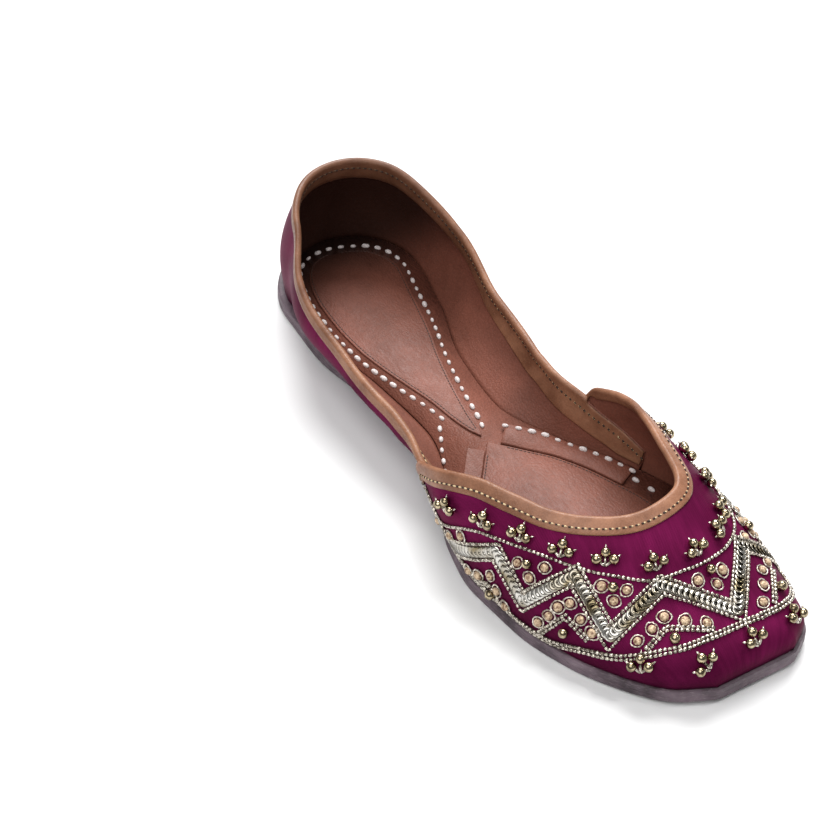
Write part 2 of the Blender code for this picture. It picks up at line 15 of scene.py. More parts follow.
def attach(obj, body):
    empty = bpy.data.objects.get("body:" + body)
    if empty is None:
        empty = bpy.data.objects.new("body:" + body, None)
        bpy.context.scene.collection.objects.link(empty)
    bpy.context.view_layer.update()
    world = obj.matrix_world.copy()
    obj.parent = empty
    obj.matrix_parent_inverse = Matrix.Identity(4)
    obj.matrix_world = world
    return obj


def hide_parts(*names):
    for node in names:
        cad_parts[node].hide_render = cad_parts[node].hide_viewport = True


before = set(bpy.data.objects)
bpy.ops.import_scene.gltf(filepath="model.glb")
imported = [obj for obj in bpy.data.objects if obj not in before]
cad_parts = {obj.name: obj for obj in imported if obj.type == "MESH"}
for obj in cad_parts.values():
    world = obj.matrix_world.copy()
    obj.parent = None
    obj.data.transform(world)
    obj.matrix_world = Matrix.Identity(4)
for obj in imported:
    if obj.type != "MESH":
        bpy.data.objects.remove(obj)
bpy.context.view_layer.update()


# Outsole. Two thin layers of vegetable tanned buffalo leather, cut to the last's outline, pegged
# and stitched together, with the cut edge dyed a dull purple brown and burnished by hand. Wear
# bares pale fibre along the rim, and the dye is patchy.
LENGTH = 0.250
BALL_WIDTH = 0.0840
TOE_SWING = 0.0170
MIDDLE = 0.0022
HEEL_SEAT = 0.118
SOLE = 0.0050
ARCH = 0.0015
TOE_SPRING = 0.0022
OUTLINE = {
    "station": (0.00, 0.118, 0.22, 0.34, 0.44, 0.54, 0.62, 0.70, 0.78, 0.86, 0.93, 0.972, 1.00),
    "half": (0.69, 0.69, 0.645, 0.475, 0.42, 0.65, 0.885, 1.00, 1.00, 0.925, 0.775, 0.630, 0.36),
    "centre": (-0.17, -0.17, -0.31, -0.42, -0.38, -0.22, -0.08, 0.07, 0.24, 0.46, 0.70, 0.87, 0.97),
}
LIFT = {
    "station": (0.00, 0.18, 0.28, 0.38, 0.48, 0.56, 0.84, 0.92, 1.00),
    "arch": (0.0, 0.0, 0.75, 1.0, 0.75, 0.0, 0.0, 0.0, 0.0),
    "spring": (0.0, 0.0, 0.0, 0.0, 0.0, 0.0, 0.0, 0.28, 1.0),
}


def smooth(table, column, at):
    """One column of a table read as a cubic that never overshoots its rows."""
    x, y = np.array(table["station"]), np.array(table[column])
    step = np.diff(x)
    slope = np.diff(y) / step
    ends = np.zeros(len(x))
    ends[0], ends[-1] = slope[0], slope[-1]
    for i in range(1, len(x) - 1):
        if slope[i - 1] * slope[i] > 0:
            w0, w1 = 2 * step[i] + step[i - 1], step[i] + 2 * step[i - 1]
            ends[i] = (w0 + w1) / (w0 / slope[i - 1] + w1 / slope[i])
    at = np.clip(at, x[0], x[-1])
    i = np.clip(np.searchsorted(x, at, side="right") - 1, 0, len(step) - 1)
    t = (at - x[i]) / step[i]
    return (
        (1 + 2 * t) * (1 - t) ** 2 * y[i]
        + t * (1 - t) ** 2 * step[i] * ends[i]
        + t * t * (3 - 2 * t) * y[i + 1]
        - t * t * (1 - t) * step[i] * ends[i + 1]
    )


def y_of(station):
    return LENGTH / 2 - station * LENGTH


def station_of(y):
    return (LENGTH / 2 - y) / LENGTH


def centre(station):
    return TOE_SWING * smooth(OUTLINE, "centre", np.maximum(station, HEEL_SEAT)) - MIDDLE


def half(station):
    return BALL_WIDTH / 2 * smooth(OUTLINE, "half", station)


def lift(y):
    station = station_of(y)
    return ARCH * smooth(LIFT, "arch", station) + TOE_SPRING * smooth(LIFT, "spring", station)


def run_along(line):
    """Length of a line of points up to each of them."""
    return np.concatenate([[0.0], np.cumsum(np.linalg.norm(np.diff(line, axis=0), axis=1))])


def side_outline(side, inset):
    """Points down one side of the outline, from the middle of the heel to the middle of the toe."""
    turn = np.linspace(0.0, math.pi / 2, 16)
    x = centre(HEEL_SEAT) + side * half(HEEL_SEAT) * np.sin(turn)
    y = y_of(HEEL_SEAT) + HEEL_SEAT * LENGTH * np.cos(turn)
    along = np.linspace(HEEL_SEAT, 1.0, 160)[1:]
    x = np.concatenate([x, centre(along) + side * half(along)])
    y = np.concatenate([y, y_of(along)])
    across = np.linspace(1.0, 0.0, 24)[1:]
    x = np.concatenate([x, centre(1.0) + side * half(1.0) * across])
    y = np.concatenate([y, np.full(len(across), y_of(1.0))])
    dx, dy = np.gradient(x), np.gradient(y)
    normal = side * np.stack([-dy, dx], axis=1) / np.hypot(dx, dy)[:, None]
    normal[0], normal[-1] = (0.0, 1.0), (0.0, -1.0)
    spots = np.stack([x, y], axis=1) - np.reshape(inset, (-1, 1)) * normal
    spots[0, 0], spots[-1, 0] = centre(HEEL_SEAT), centre(1.0)
    return spots


def resampled(line, shares):
    """Points at the given shares of a line's length."""
    far = run_along(line)
    return np.stack([np.interp(np.asarray(shares) * far[-1], far, column) for column in line.T], axis=1)


def add(tree, kind, settings, sockets):
    """Adds a node; a socket's value is another node's output, to link, or a plain value."""
    made = tree.nodes.new(kind)
    for key, value in settings.items():
        setattr(made, key, value)
    for key, value in sockets.items():
        if isinstance(value, bpy.types.NodeSocket):
            tree.links.new(value, made.inputs[key])
        else:
            made.inputs[key].default_value = value
    return made


def colour(code):
    """Linear colour of an sRGB hex value."""
    channels = [int(code[i:i + 2], 16) / 255 for i in (1, 3, 5)]
    return [c / 12.92 if c <= 0.04045 else ((c + 0.055) / 1.055) ** 2.4 for c in channels] + [1.0]


def surface(name):
    """A new material, with its node tree and its shader."""
    made = bpy.data.materials.new(name)
    made.use_nodes = True
    return made, made.node_tree, made.node_tree.nodes["Principled BSDF"]


def object_place(tree):
    return add(tree, "ShaderNodeTexCoord", {}, {}).outputs["Object"]


def noise(tree, place, scale, detail, **more):
    sockets = {"Vector": place, "Scale": scale, "Detail": detail, **more}
    return add(tree, "ShaderNodeTexNoise", {}, sockets).outputs["Fac"]


def two_tone(tree, value, low, dark, high, pale):
    """Colour that goes from a dark tone to a pale one as the value rises."""
    tone = add(tree, "ShaderNodeValToRGB", {}, {"Fac": value})
    for stop, place, code in zip(tone.color_ramp.elements, (low, high), (dark, pale)):
        stop.position, stop.color = place, colour(code)
    return tone.outputs[0]


def remapped(tree, value, spans, kind="LINEAR"):
    """A value taken from one range to another: from low, from high, to low, to high."""
    sockets = dict(zip(("From Min", "From Max", "To Min", "To Max"), spans))
    made = add(tree, "ShaderNodeMapRange", {"interpolation_type": kind}, {"Value": value, **sockets})
    return made.outputs[0]


def blended(tree, factor, a, b, kind="MIX"):
    """Two colours mixed."""
    sockets = {"Factor": factor, "A": a, "B": b}
    made = add(tree, "ShaderNodeMix", {"data_type": "RGBA", "blend_type": kind}, sockets)
    return made.outputs["Result"]


def coloured(tree, shader, paint):
    tree.links.new(paint, shader.inputs["Base Color"])


def bumped(tree, shader, height, strength, distance):
    sockets = {"Height": height, "Strength": strength, "Distance": distance}
    relief = add(tree, "ShaderNodeBump", {}, sockets)
    tree.links.new(relief.outputs[0], shader.inputs["Normal"])


def plain(shader, values):
    """Sets values that are the same all over."""
    for label, value in values.items():
        shader.inputs[label].default_value = value


def finish_piece(name, mesh, finishes, slot, *nodes):
    """Links a mesh as a piece of the shoe, with its finishes, its body and what it stands for."""
    for one in finishes:
        mesh.materials.append(one)
    mesh.shade_smooth()
    piece = bpy.data.objects.new(name, mesh)
    bpy.context.scene.collection.objects.link(piece)
    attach(piece, "root")
    if nodes:
        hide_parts(*nodes)
    return piece


def closed_mesh(name, points, faces, which=None, uv=None):
    """Mesh of a closed body, its faces turned outwards; uv is in metres, one pair for each point."""
    mesh = bpy.data.meshes.new(name)
    mesh.from_pydata([tuple(point) for point in points], [], faces)
    if which is not None:
        mesh.polygons.foreach_set("material_index", which)
    if uv is not None:
        corners = np.empty(len(mesh.loops), np.int32)
        mesh.loops.foreach_get("vertex_index", corners)
        mesh.uv_layers.new(name="cut").data.foreach_set("uv", np.asarray(uv)[corners].ravel())
    shape = bmesh.new()
    shape.from_mesh(mesh)
    bmesh.ops.recalc_face_normals(shape, faces=shape.faces)
    shape.to_mesh(mesh)
    shape.free()
    return mesh


def slab(name, left, right, rows):
    """Flat piece between two side lines; its rows are (set back, height at each y)."""
    closed = np.allclose(left[0], right[0])
    middle = (left + right) / 2
    points, faces, rings = [], [], []
    for back, height in rows:
        ring = []
        for line in (left, right):
            away = line - middle
            away[0], away[-1] = line[0] - middle[1], line[-1] - middle[-2]
            size = np.linalg.norm(away, axis=1, keepdims=True)
            spots = line - away / size * back
            ring.append(np.column_stack([spots, height(spots[:, 1])]))
        rings.append(len(points))
        points.extend(np.vstack([ring[0], ring[1][-2:0:-1] if closed else ring[1][::-1]]))
    around = len(points) // len(rows)
    for a, b in zip(rings, rings[1:]):
        faces += [(a + i, a + (i + 1) % around, b + (i + 1) % around, b + i) for i in range(around)]
    for start in (rings[0], rings[-1]):
        for i in range(len(left) - 1):
            far = around - i - (0 if closed else 1)
            corners = (i, i + 1, (far - 1) % around, far % around)
            faces.append([start + corner for corner in dict.fromkeys(corners)])
    return closed_mesh(name, points, faces)


SOLE_ROWS = (
    # Set back and height, mm: burnished lower corner, lower layer, joint, upper layer, top corner.
    (1.00, 0.00), (0.35, 0.12), (0.10, 0.45), (0.02, 1.00), (0.00, 1.90), (0.06, 2.50), (0.22, 2.68),
    (0.10, 2.84), (0.05, 3.40), (0.20, 4.00), (0.30, 4.60), (0.55, 4.90), (0.95, 5.00),
)
outline_shares = np.linspace(0.0, 1.0, 170)
sole_sides = [resampled(side_outline(side, 0.0), outline_shares) for side in (-1, 1)]
sole_rows = [(back / 1000, lambda y, up=up: lift(y) + up / 1000) for back, up in SOLE_ROWS]
sole_mesh = slab("sole_layers", *sole_sides, sole_rows)

# Dyed and burnished leather edge: dull, patchy, and paler where it is rubbed.
sole_leather, tree, shader = surface("dyed_sole_leather")
place = object_place(tree)
strata = add(tree, "ShaderNodeMapping", {}, {"Vector": place, "Scale": (1.0, 1.0, 5.0)}).outputs[0]
fibre = noise(tree, strata, 420.0, 6.0, Roughness=0.7)
patch = noise(tree, place, 70.0, 4.0, Roughness=0.6)
dye = two_tone(tree, patch, 0.34, "#382A32", 0.66, "#75636D")
rub = remapped(tree, fibre, (0.54, 0.70, 0.0, 0.55))
mixed = blended(tree, rub, dye, colour("#94858A"))
coloured(tree, shader, mixed)
plain(shader, {"Roughness": 0.56})
bumped(tree, shader, fibre, 0.35, 0.0003)
finish_piece("sole_layers", sole_mesh, [sole_leather], "sole", "outsole")


# Insole. A goat leather lining pasted over a thin board, its rim left bare beside the walls so
# that the thick cotton stitches that hold the upper to the sole show along it.
GAP = 0.0003
INSOLE = 0.0014
SOLE_EDGE = 0.0012
WALL = 0.0020
VAMP_STEP = 0.0014
MOST_SLANT = 1.25
TOE_ROOM = 0.0016
QUARTER_END = 0.64
FOOT_INSET = SOLE_EDGE + VAMP_STEP


def ramp(value, low, high):
    t = np.clip((value - low) / (high - low), 0.0, 1.0)
    return t * t * (3 - 2 * t)


def seat(y):
    return lift(y) + SOLE + GAP


def inner_side(side, margin, end, count):
    """Side line of a layer inside the upper, from the heel to a station."""
    stations = station_of(side_outline(side, 0.0)[:, 1])
    under_quarter = FOOT_INSET + WALL * MOST_SLANT + GAP
    under_vamp = SOLE_EDGE + WALL + TOE_ROOM
    share = ramp(stations, QUARTER_END + 0.005, QUARTER_END + 0.04)
    spots = side_outline(side, under_quarter + (under_vamp - under_quarter) * share + margin(stations))
    return resampled(spots[spots[:, 1] >= y_of(end)], np.linspace(0.0, 1.0, count))


def insole_top(y):
    return seat(y) + INSOLE


insole_sides = [inner_side(side, lambda s: -0.0012 + 0.0 * s, 1.1, 120) for side in (-1, 1)]
insole_mesh = slab("insole_lining", *insole_sides, [(0.0, seat), (0.0, insole_top)])

# Glazed goat leather: fine pebbled grain about 0.7 mm across, drawn coarse enough to show, with a
# soft sheen, cloudy colour and long wrinkles. Painted shade makes it far darker towards the heel
# and higher up the heel's walls.
lining_leather, tree, shader = surface("glazed_lining_leather")
place = object_place(tree)
grain = add(tree, "ShaderNodeTexVoronoi", {"feature": "F1"}, {"Vector": place, "Scale": 1300.0})
cloud = noise(tree, place, 38.0, 5.0, Roughness=0.6)
drawn = add(tree, "ShaderNodeMapping", {}, {"Vector": place, "Scale": (950.0, 260.0, 380.0)}).outputs[0]
wrinkle = noise(tree, drawn, 1.0, 3.0, Distortion=0.5)
tone = two_tone(tree, cloud, 0.30, "#653B2E", 0.72, "#875243")
pore = remapped(tree, grain.outputs["Distance"], (0.0, 0.8, 1.04, 0.86))
shade = blended(tree, 1.0, tone, pore, "MULTIPLY")
# Painted shade: the lining goes far darker towards the heel and higher up its walls.
spot = add(tree, "ShaderNodeSeparateXYZ", {}, {"Vector": place})
rearward = add(tree, "ShaderNodeMath", {"operation": "MULTIPLY_ADD"}, {
    0: spot.outputs["Z"], 1: 0.9, 2: spot.outputs["Y"],
})
painted_heel_shade = remapped(tree, rearward.outputs[0], (0.090, 0.124, 0.0, 0.90), "SMOOTHSTEP")
tone_with_painted_shade = blended(tree, painted_heel_shade, shade, colour("#24130D"))
coloured(tree, shader, tone_with_painted_shade)
gloss = remapped(tree, wrinkle, (0.3, 0.7, 0.46, 0.60))
tree.links.new(gloss, shader.inputs["Roughness"])
plain(shader, {"Specular IOR Level": 0.28})
height = add(tree, "ShaderNodeMath", {"operation": "MULTIPLY_ADD"}, {
    0: grain.outputs["Distance"], 1: -0.6, 2: wrinkle,
})
bumped(tree, shader, height.outputs[0], 0.45, 0.0004)
finish_piece("insole_lining", insole_mesh, [lining_leather], "lining", "insole")


# Sock linings. A heel sock with a long tongue and a forefoot sock, both of the same goat leather,
# pasted over the insole, and two bands that cover the sewn edges beside the forefoot sock's point.
SOCK = 0.0009
HEEL_PARED, FORE_PARED = SOCK * 0.5, SOCK * 0.6
BAND = 0.0011
BAND_WIDTH = 0.0062
BAND_START, BAND_END = 0.512, 0.655
FOREFOOT = {
    "station": (0.500, 0.53, 0.57, 0.63, 0.69, 0.76, 0.84, 0.90, 0.94),
    "half": (0.02, 0.34, 0.60, 0.68, 0.72, 0.78, 0.82, 0.80, 0.62),
}
FEET = {side: side_outline(side, FOOT_INSET) for side in (-1, 1)}


def foot_half(side, y):
    """Half width of the last's foot at y, from the centre line."""
    line = FEET[side][::-1]
    return side * (np.interp(y, line[24:, 1], line[24:, 0]) - centre(station_of(y)))


def sock_floor(y):
    return insole_top(y) + GAP


def sock_rows(thick, round_off):
    """Rows of a pasted layer with a pared, rounded edge."""
    return [
        (0.0, sock_floor),
        (0.0, lambda y: sock_floor(y) + thick * 0.5),
        (round_off * 0.3, lambda y: sock_floor(y) + thick * 0.85),
        (round_off, lambda y: sock_floor(y) + thick),
    ]


def sock_edge(side, stations):
    """Side line of the forefoot sock: a wedge at the rear, then along the insole's edge."""
    under_quarter = WALL * MOST_SLANT + GAP
    under_vamp = SOLE_EDGE + WALL + TOE_ROOM - FOOT_INSET
    share = ramp(stations, QUARTER_END + 0.005, QUARTER_END + 0.04)
    room = foot_half(side, y_of(stations)) - (under_quarter + (under_vamp - under_quarter) * share)
    wide = room * smooth(FOREFOOT, "half", stations)
    return np.stack([centre(stations) + side * wide, y_of(stations)], axis=1)


HEEL_SOCK = (
    # Across and share of the length, mm: down its left side, then down its right side.
    ((-5.0, 0.052), (-9.6, 0.050), (-14.8, 0.057), (-18.6, 0.073), (-21.2, 0.097), (-22.8, 0.123),
     (-23.6, 0.150), (-23.9, 0.200), (-23.2, 0.255), (-20.9, 0.304), (-17.8, 0.350), (-14.2, 0.400),
     (-12.4, 0.436), (-10.2, 0.466), (-7.6, 0.486)),
    ((-5.0, 0.052), (2.0, 0.061), (6.4, 0.071), (9.6, 0.086), (11.6, 0.104), (12.2, 0.123),
     (11.0, 0.150), (9.6, 0.176), (6.8, 0.226), (3.6, 0.276), (0.5, 0.316), (-2.5, 0.365),
     (-4.8, 0.413), (-6.2, 0.452), (-6.8, 0.484)),
)


def eased(row, count):
    """Smooth line through (across, share of the length) pairs, mm."""
    spots = np.array([(x / 1000, y_of(station)) for x, station in row])
    far = run_along(spots)
    table = {"station": far / far[-1], "x": spots[:, 0], "y": spots[:, 1]}
    at = np.linspace(0.0, 1.0, count)
    return np.stack([smooth(table, "x", at), smooth(table, "y", at)], axis=1)


heel_sides = [eased(row, 90) for row in HEEL_SOCK]
heel_mesh = slab("heel_sock_lining", *heel_sides, sock_rows(HEEL_PARED, 0.0003))
finish_piece("heel_sock_lining", heel_mesh, [lining_leather], "lining", "heel_sock")
fore_stations = np.linspace(FOREFOOT["station"][0], FOREFOOT["station"][-1], 60)
fore_sides = [sock_edge(side, fore_stations) for side in (-1, 1)]
fore_mesh = slab("forefoot_sock_lining", *fore_sides, sock_rows(FORE_PARED, 0.0003))
finish_piece("forefoot_sock_lining", fore_mesh, [lining_leather], "lining", "forefoot_sock")
band_sides = {}
for side, name in ((-1, "left_band"), (1, "right_band")):
    edge = sock_edge(side, np.linspace(BAND_START, BAND_END, 30))
    along = np.gradient(edge, axis=0)
    along /= np.linalg.norm(along, axis=1)[:, None]
    outward = side * np.stack([-along[:, 1], along[:, 0]], axis=1)
    near = edge + outward * GAP
    rim = inner_side(side, lambda s: 0.0006 + 0.0 * s, 1.0, 400)
    room = np.abs(np.interp(-near[:, 1], -rim[:, 1], rim[:, 0]) - near[:, 0])
    width = BAND_WIDTH if side < 0 else np.minimum(0.0092, 0.92 * room)
    band_sides[side] = (near, near + outward * np.reshape(width, (-1, 1)))
    thick = BAND if side > 0 else BAND * 0.4
    band_mesh = slab(name + "_strip", *band_sides[side], sock_rows(thick, 0.0004))
    finish_piece(name + "_strip", band_mesh, [lining_leather], "lining", name)


# Upper. Satin glued to a thin leather backing and lined with goat leather, cut as a quarter round
# the heel and a vamp whose wings lap over it, then pulled over the last and sewn down to the sole.
HEEL_HEIGHT = 0.0470
WAIST_HEIGHT = 0.0260
THROAT_HEIGHT = 0.0385
TOE_HEIGHT = 0.0250
FLARE = 0.0100
WING_END = 0.535
WING_FLARE, WING_FLARE_RUN = 0.09, 0.016
THROAT = 0.797
TOE_POLE = 0.895
CROWN_FALL = 0.001
QUARTER = {
    "station": (0.00, 0.06, 0.118, 0.20, 0.30, 0.40, 0.51, 0.58, 0.64),
    "left": (-0.70, -0.55, -0.20, 0.75, 1.20, 1.45, 1.20, 0.70, 0.45),
    "right": (-0.70, -0.55, -0.25, 0.60, 1.25, 1.55, 1.10, 0.50, 0.20),
    "belly": (0.50, 0.45, 0.35, 0.35, 0.30, 0.30, 0.30, 0.25, 0.20),
    "height": (1.00, 0.98, 0.86, 0.52, 0.18, 0.00, -0.10, -0.30, -0.55),
}
VAMP = {
    "station": (0.40, 0.46, 0.52, 0.58, 0.66, 0.72, 0.79, 0.84, 0.895),
    "crown": (2.60, 2.50, 2.35, 2.15, 1.85, 1.52, 1.00, 0.55, 0.00),
    "left": (2.60, 2.60, 2.50, 1.90, 0.85, 0.35, 0.20, 0.20, 0.18),
    "right": (2.10, 2.10, 1.90, 1.25, 0.45, 0.25, 0.20, 0.20, 0.18),
    "shoulder": (0.62, 0.62, 0.60, 0.60, 0.58, 0.56, 0.55, 0.55, 0.58),
    "flat": (1.35, 1.30, 1.20, 0.90, 0.60, 0.54, 0.54, 0.55, 0.55),
}
COLLAR = {
    "station": (0.535, 0.583, 0.612, 0.654, 0.692, 0.727, 0.756, 0.777, 0.797),
    "left": (0.593, 0.430, 0.340, 0.253, 0.203, 0.158, 0.100, 0.048, 0.0),
    "right": (0.593, 0.450, 0.385, 0.260, 0.195, 0.160, 0.126, 0.080, 0.0),
}
SIDE = {-1: "left", 1: "right"}
POLE = np.array([float(centre(TOE_POLE)), y_of(TOE_POLE)])
fan = [
    (math.atan2(x - POLE[0], POLE[1] - y), math.hypot(x - POLE[0], y - POLE[1]))
    for side in (-1, 1) for x, y in FEET[side] if y < POLE[1]
]
fan += [(side * math.pi / 2, float(foot_half(side, POLE[1]))) for side in (-1, 1)]
FAN_TURN, FAN_REACH = np.array(sorted(fan)).T


def crown(station):
    return TOE_HEIGHT + (THROAT_HEIGHT - TOE_HEIGHT) * smooth(VAMP, "crown", station)


def arch_over(foot, inward, reach, station, slope, share):
    """Points of the last's sections, from the foot (share 0) over to the crown (1)."""
    base = seat(foot[:, 1])
    rise = crown(station) - base
    left, right = smooth(VAMP, "left", station), smooth(VAMP, "right", station)
    out = FLARE * (left + (right - left) * (1 - inward[:, 0]) / 2)
    handle = smooth(VAMP, "flat", station) * reach
    depth = (0.0, -out, reach - handle, reach)
    height = (0.0, smooth(VAMP, "shoulder", station) * rise, rise - slope * handle, rise)
    weight = ((1 - share) ** 3, 3 * share * (1 - share) ** 2, 3 * share**2 * (1 - share), share**3)
    along = sum(w * d for w, d in zip(weight, depth))
    up = sum(w * h for w, h in zip(weight, height))
    return np.column_stack([foot + inward * along[:, None], base + up])


def last(spots):
    """Lifts spots of the foot's flat outline onto the last."""
    spots = np.atleast_2d(np.asarray(spots, float))
    x, y = spots.T
    station = station_of(y)
    middle = centre(station)
    side = np.where(x >= middle, 1.0, -1.0)
    reach = np.where(side > 0, foot_half(1, y), foot_half(-1, y))
    reach = np.maximum(reach, 1e-5)
    foot = np.column_stack([middle + side * reach, y])
    inward = np.column_stack([-side, 0.0 * side])
    rear = arch_over(foot, inward, reach, station, 0.0, 1 - np.abs(x - middle) / reach)
    away = spots - POLE
    size = np.maximum(np.linalg.norm(away, axis=1), 1e-9)
    reach = np.interp(np.arctan2(away[:, 0], -away[:, 1]), FAN_TURN, FAN_REACH)
    outward = away / size[:, None]
    fall = (crown(TOE_POLE - CROWN_FALL) - crown(TOE_POLE)) / (CROWN_FALL * LENGTH)
    slope = fall * np.maximum(-outward[:, 1], 0.0)
    tip = arch_over(POLE + outward * reach[:, None], -outward, reach, TOE_POLE, slope, 1 - size / reach)
    return np.where((y >= POLE[1])[:, None], rear, tip)


def slopes(spots):
    """How the last moves for each metre that a spot moves along X and along Y."""
    step = 0.0002
    across = (last(spots + (step, 0.0)) - last(spots - (step, 0.0))) / (2 * step)
    along = (last(spots + (0.0, step)) - last(spots - (0.0, step))) / (2 * step)
    return across, along


def unit(vectors):
    return vectors / np.maximum(np.linalg.norm(vectors, axis=-1, keepdims=True), 1e-12)


def last_normal(spots):
    return unit(np.cross(*slopes(spots)))


def nudged(spots, moves):
    """Spots moved so that their places on the last move by these small steps."""
    across, along = slopes(spots)
    a, b, c = (across * across).sum(1), (across * along).sum(1), (along * along).sum(1)
    p, q = (across * moves).sum(1), (along * moves).sum(1)
    size = a * c - b * b
    return spots + np.stack([(c * p - b * q) / size, (a * q - b * p) / size], axis=1)


def walked(spots, heading, distance):
    """Spots after a walk over the last along a heading."""
    steps = max(int(math.ceil(abs(distance) / 0.0006)), 1)
    for _ in range(steps):
        normal = last_normal(spots)
        heading = unit(heading - normal * (heading * normal).sum(1)[:, None])
        spots = nudged(spots, heading * distance / steps)
    return spots


def topline_height(station):
    return WAIST_HEIGHT + (HEEL_HEIGHT - WAIST_HEIGHT) * smooth(QUARTER, "height", station)


class QuarterColumn:
    """One upright section of the quarter: gives its points at a depth inside its outer face."""

    def __init__(self, station, side):
        if station < HEEL_SEAT:
            turn = math.acos(1 - station / HEEL_SEAT)
            deep, wide = HEEL_SEAT * LENGTH, float(half(HEEL_SEAT))
            normal = unit(np.array([side * deep * math.sin(turn), wide * math.cos(turn)]))
            spot = (
                float(centre(HEEL_SEAT)) + side * wide * math.sin(turn),
                y_of(HEEL_SEAT) + deep * math.cos(turn),
            )
            self.foot, self.outward = np.array(spot) - FOOT_INSET * normal, normal
        else:
            y = y_of(station)
            self.foot = np.array([float(centre(station)) + side * float(foot_half(side, y)), y])
            self.outward = np.array([float(side), 0.0])
        self.base = float(seat(self.foot[1]))
        self.top = float(topline_height(station))
        self.heights = np.linspace(self.base, self.top, 61)
        level = (self.heights - self.base) / (self.top - self.base)
        own = FLARE * (
            smooth(QUARTER, SIDE[side], station) * np.sin(level * math.pi / 2)
            + smooth(QUARTER, "belly", station) * np.sin(level * math.pi)
        )
        blend = float(ramp(station, WING_END - 0.08, WING_END + 0.005))
        if blend > 0:
            y = y_of(station)
            foot = np.tile([0.0, y], (60, 1))
            inward = np.tile([-float(side), 0.0], (60, 1))
            reach = np.full(60, float(foot_half(side, y)))
            arc = arch_over(foot, inward, reach, station, 0.0, np.linspace(0.0, 0.8, 60))
            own = own * (1 - blend) + np.interp(self.heights, arc[:, 2], side * arc[:, 0]) * blend
        self.lean = own
        self.slant = np.minimum(np.hypot(1.0, np.gradient(own, self.heights)), MOST_SLANT)

    def at(self, depth, height):
        level = np.clip(height, self.base, self.top)
        lean, slant = (np.interp(level, self.heights, row) for row in (self.lean, self.slant))
        away = lean - depth * slant
        return np.array([*(self.foot + self.outward * away), height])


# The walls are skived towards their edges, so that the folded strips stay slim.
EDGE = 0.0011
SKIVED = 0.0080
TOP_RISE = 0.0003


def wall_at(down):
    """Thickness of a wall this far down from its edge."""
    return EDGE + (WALL - EDGE) * ramp(down, 0.0, SKIVED)


def top_rise(station):
    """How far the topline stands above the quarter's plain height, away from the wings."""
    return TOP_RISE * (1 - ramp(station, WING_END - 0.05, WING_END))


def dented(points, normals, dents):
    """Points pushed in along soft troughs: rows of ends, mm, half width and depth, mm."""
    points = points.copy()
    for x0, y0, z0, x1, y1, z1, wide, deep in dents:
        start, end = np.array([x0, y0, z0]) / 1000, np.array([x1, y1, z1]) / 1000
        line = end - start
        share = np.clip(((points - start) @ line) / (line @ line), 0.0, 1.0)
        far = np.linalg.norm(points - start - share[:, None] * line, axis=1)
        points -= normals * (deep / 1000 * np.exp(-((far * 1000 / wide) ** 2)))[:, None]
    return points


def shell(name, rings, outer_count, uv):
    """Closed wall through equal rings of points: the outer face first, then back up the inner one.

    The outer face takes the first finish, and the edges and the inner face the second."""
    columns, around = len(rings), len(rings[0])
    faces, which = [], []
    for i in range(columns - 1):
        for j in range(around):
            k = (j + 1) % around
            a, b = i * around, (i + 1) * around
            faces.append((a + j, a + k, b + k, b + j))
            which.append(0 if j < outer_count - 1 else 1)
    faces += [tuple(range(around)), tuple((columns - 1) * around + j for j in range(around))]
    which += [1, 1]
    return closed_mesh(name, np.reshape(rings, (-1, 3)), faces, which, np.reshape(uv, (-1, 2)))


# Satin: polyester threads about 0.25 mm apart that float over the ground along the vamp's length,
# drawn 0.5 mm apart to show. It gives a wine red that lifts to pink where the light rakes over it,
# and low down, beside the sole, it is painted darker as shade.
satin, tree, shader = surface("woven_satin")
place = object_place(tree)
weave_place = add(tree, "ShaderNodeUVMap", {"uv_map": "cut"}, {}).outputs[0]
threads = add(tree, "ShaderNodeTexWave", {"wave_type": "BANDS", "bands_direction": "X"}, {
    "Vector": weave_place, "Scale": 630.0, "Distortion": 0.6, "Detail": 1.0, "Detail Scale": 3.0,
})
slubs = add(tree, "ShaderNodeMapping", {}, {"Vector": weave_place, "Scale": (900.0, 90.0, 1.0)})
slub = noise(tree, slubs.outputs[0], 1.0, 3.0)
cloud = noise(tree, place, 45.0, 3.0)
tone = two_tone(tree, cloud, 0.30, "#500F31", 0.72, "#6E1846")
thread_tone = remapped(tree, slub, (0.3, 0.7, 0.86, 1.12))
shade = blended(tree, 1.0, tone, thread_tone, "MULTIPLY")
spot = add(tree, "ShaderNodeSeparateXYZ", {}, {"Vector": place})
# Painted shade: the satin darkens low down, beside the sole.
painted_low_shade = remapped(tree, spot.outputs["Z"], (0.006, 0.019, 0.55, 1.0), "SMOOTHSTEP")
satin_with_painted_shade = blended(tree, 1.0, shade, painted_low_shade, "MULTIPLY")
coloured(tree, shader, satin_with_painted_shade)
plain(shader, {
    "Roughness": 0.46, "Metallic": 0.30, "Specular IOR Level": 0.04, "Specular Tint": colour("#A04468"),
})
height = add(tree, "ShaderNodeMath", {"operation": "MULTIPLY_ADD"}, {
    0: slub, 1: 0.8, 2: threads.outputs["Fac"],
})
bumped(tree, shader, height.outputs[0], 0.12, 0.0002)

